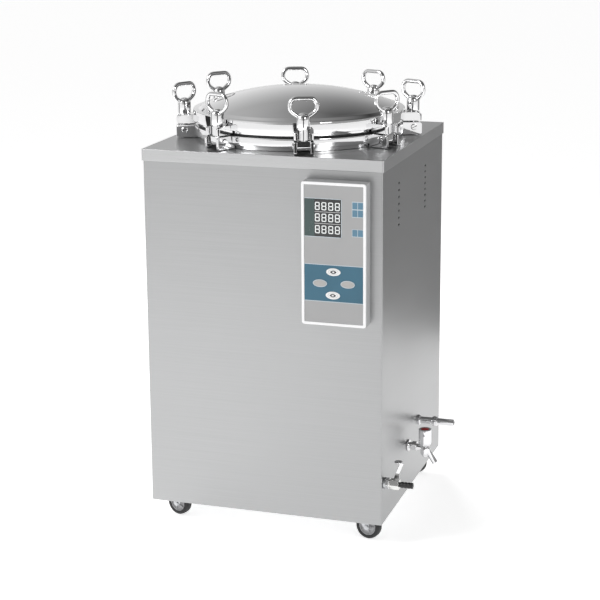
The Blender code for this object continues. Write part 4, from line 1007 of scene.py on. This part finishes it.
def make_stage():
    mesh = bpy.data.meshes.new("floor")
    reach = 40.0
    mesh.from_pydata([(-reach, -reach, 0), (reach, -reach, 0), (reach, reach, 0), (-reach, reach, 0)], [],
        [(0, 1, 2, 3)])
    floor = bpy.data.objects.new("floor", mesh)
    bpy.context.scene.collection.objects.link(floor)
    paper = Nodes("floor_white", (0.90, 0.90, 0.90), 0.9)
    paper.set("Emission Color", (1.0, 1.0, 1.0, 1.0))
    paper.set("Emission Strength", 0.68)
    mesh.materials.append(paper.material)
    bpy.context.scene.view_settings.view_transform = "Standard"
    area_light("key", (-2.4, -2.2, 2.8), (0, 0, 0.7), (1.4, 1.4), 60)
    area_light("fill", (2.6, -2.6, 2.0), (0, 0, 0.6), (0.8, 1.6), 25)
    area_light("back", (-1.2, 2.4, 2.2), (0, 0, 0.9), (1.0, 0.8), 40, glossy=False)
    card("flag_back", [(-2.6, 1.7, 0.01), (3.6, 1.3, 0.01), (3.6, 1.3, 0.95), (-2.6, 1.7, 0.95)], (0.30, 0.30, 0.30))
    card("flag_front", [(0.42, -2.2, 0.01), (0.98, -2.0, 0.01), (0.98, -2.0, 1.9), (0.42, -2.2, 1.9)],
        (0.02, 0.02, 0.02))
    card("flag_left", [(-1.7, -0.35, 0.01), (-1.7, 0.15, 0.01), (-1.7, 0.15, 1.5), (-1.7, -0.35, 1.5)],
        (0.02, 0.02, 0.02))


def make_camera():
    """The view's own fit: place, heading, tilt, roll and focal length."""
    data = bpy.data.cameras.new("camera")
    data.lens = 100.9
    data.sensor_width = 36.0
    data.shift_y = -0.098
    data.clip_end = 200
    camera = bpy.data.objects.new("camera", data)
    bpy.context.scene.collection.objects.link(camera)
    heading, tilt, roll = math.radians(18.01), math.radians(12.83), math.radians(-0.39)
    forward = Vector((-math.sin(heading) * math.cos(tilt), math.cos(heading) * math.cos(tilt), -math.sin(tilt)))
    right = Vector((math.cos(heading), math.sin(heading), 0))
    up = right.cross(forward)
    rolled_right = right * math.cos(roll) + up * math.sin(roll)
    rolled_up = up * math.cos(roll) - right * math.sin(roll)
    turn = Matrix((rolled_right, rolled_up, -forward)).transposed().to_4x4()
    place = CABINET.translation + Vector((1.2639, -3.8874, 1.537 + SKIRT))
    camera.matrix_world = Matrix.Translation(place) @ turn
    bpy.context.scene.camera = camera


make_camera()
make_cabinet()
make_cover()
make_rear()
make_vessel()
make_gasket()
make_lid()
make_clamps()
make_bezel()
make_overlay()
make_display()
make_keys()
make_casters()
make_drain_valve()
make_tap()
make_nozzle()
make_gland()
dress_nodes()
make_world()
make_stage()
bpy.context.view_layer.update()
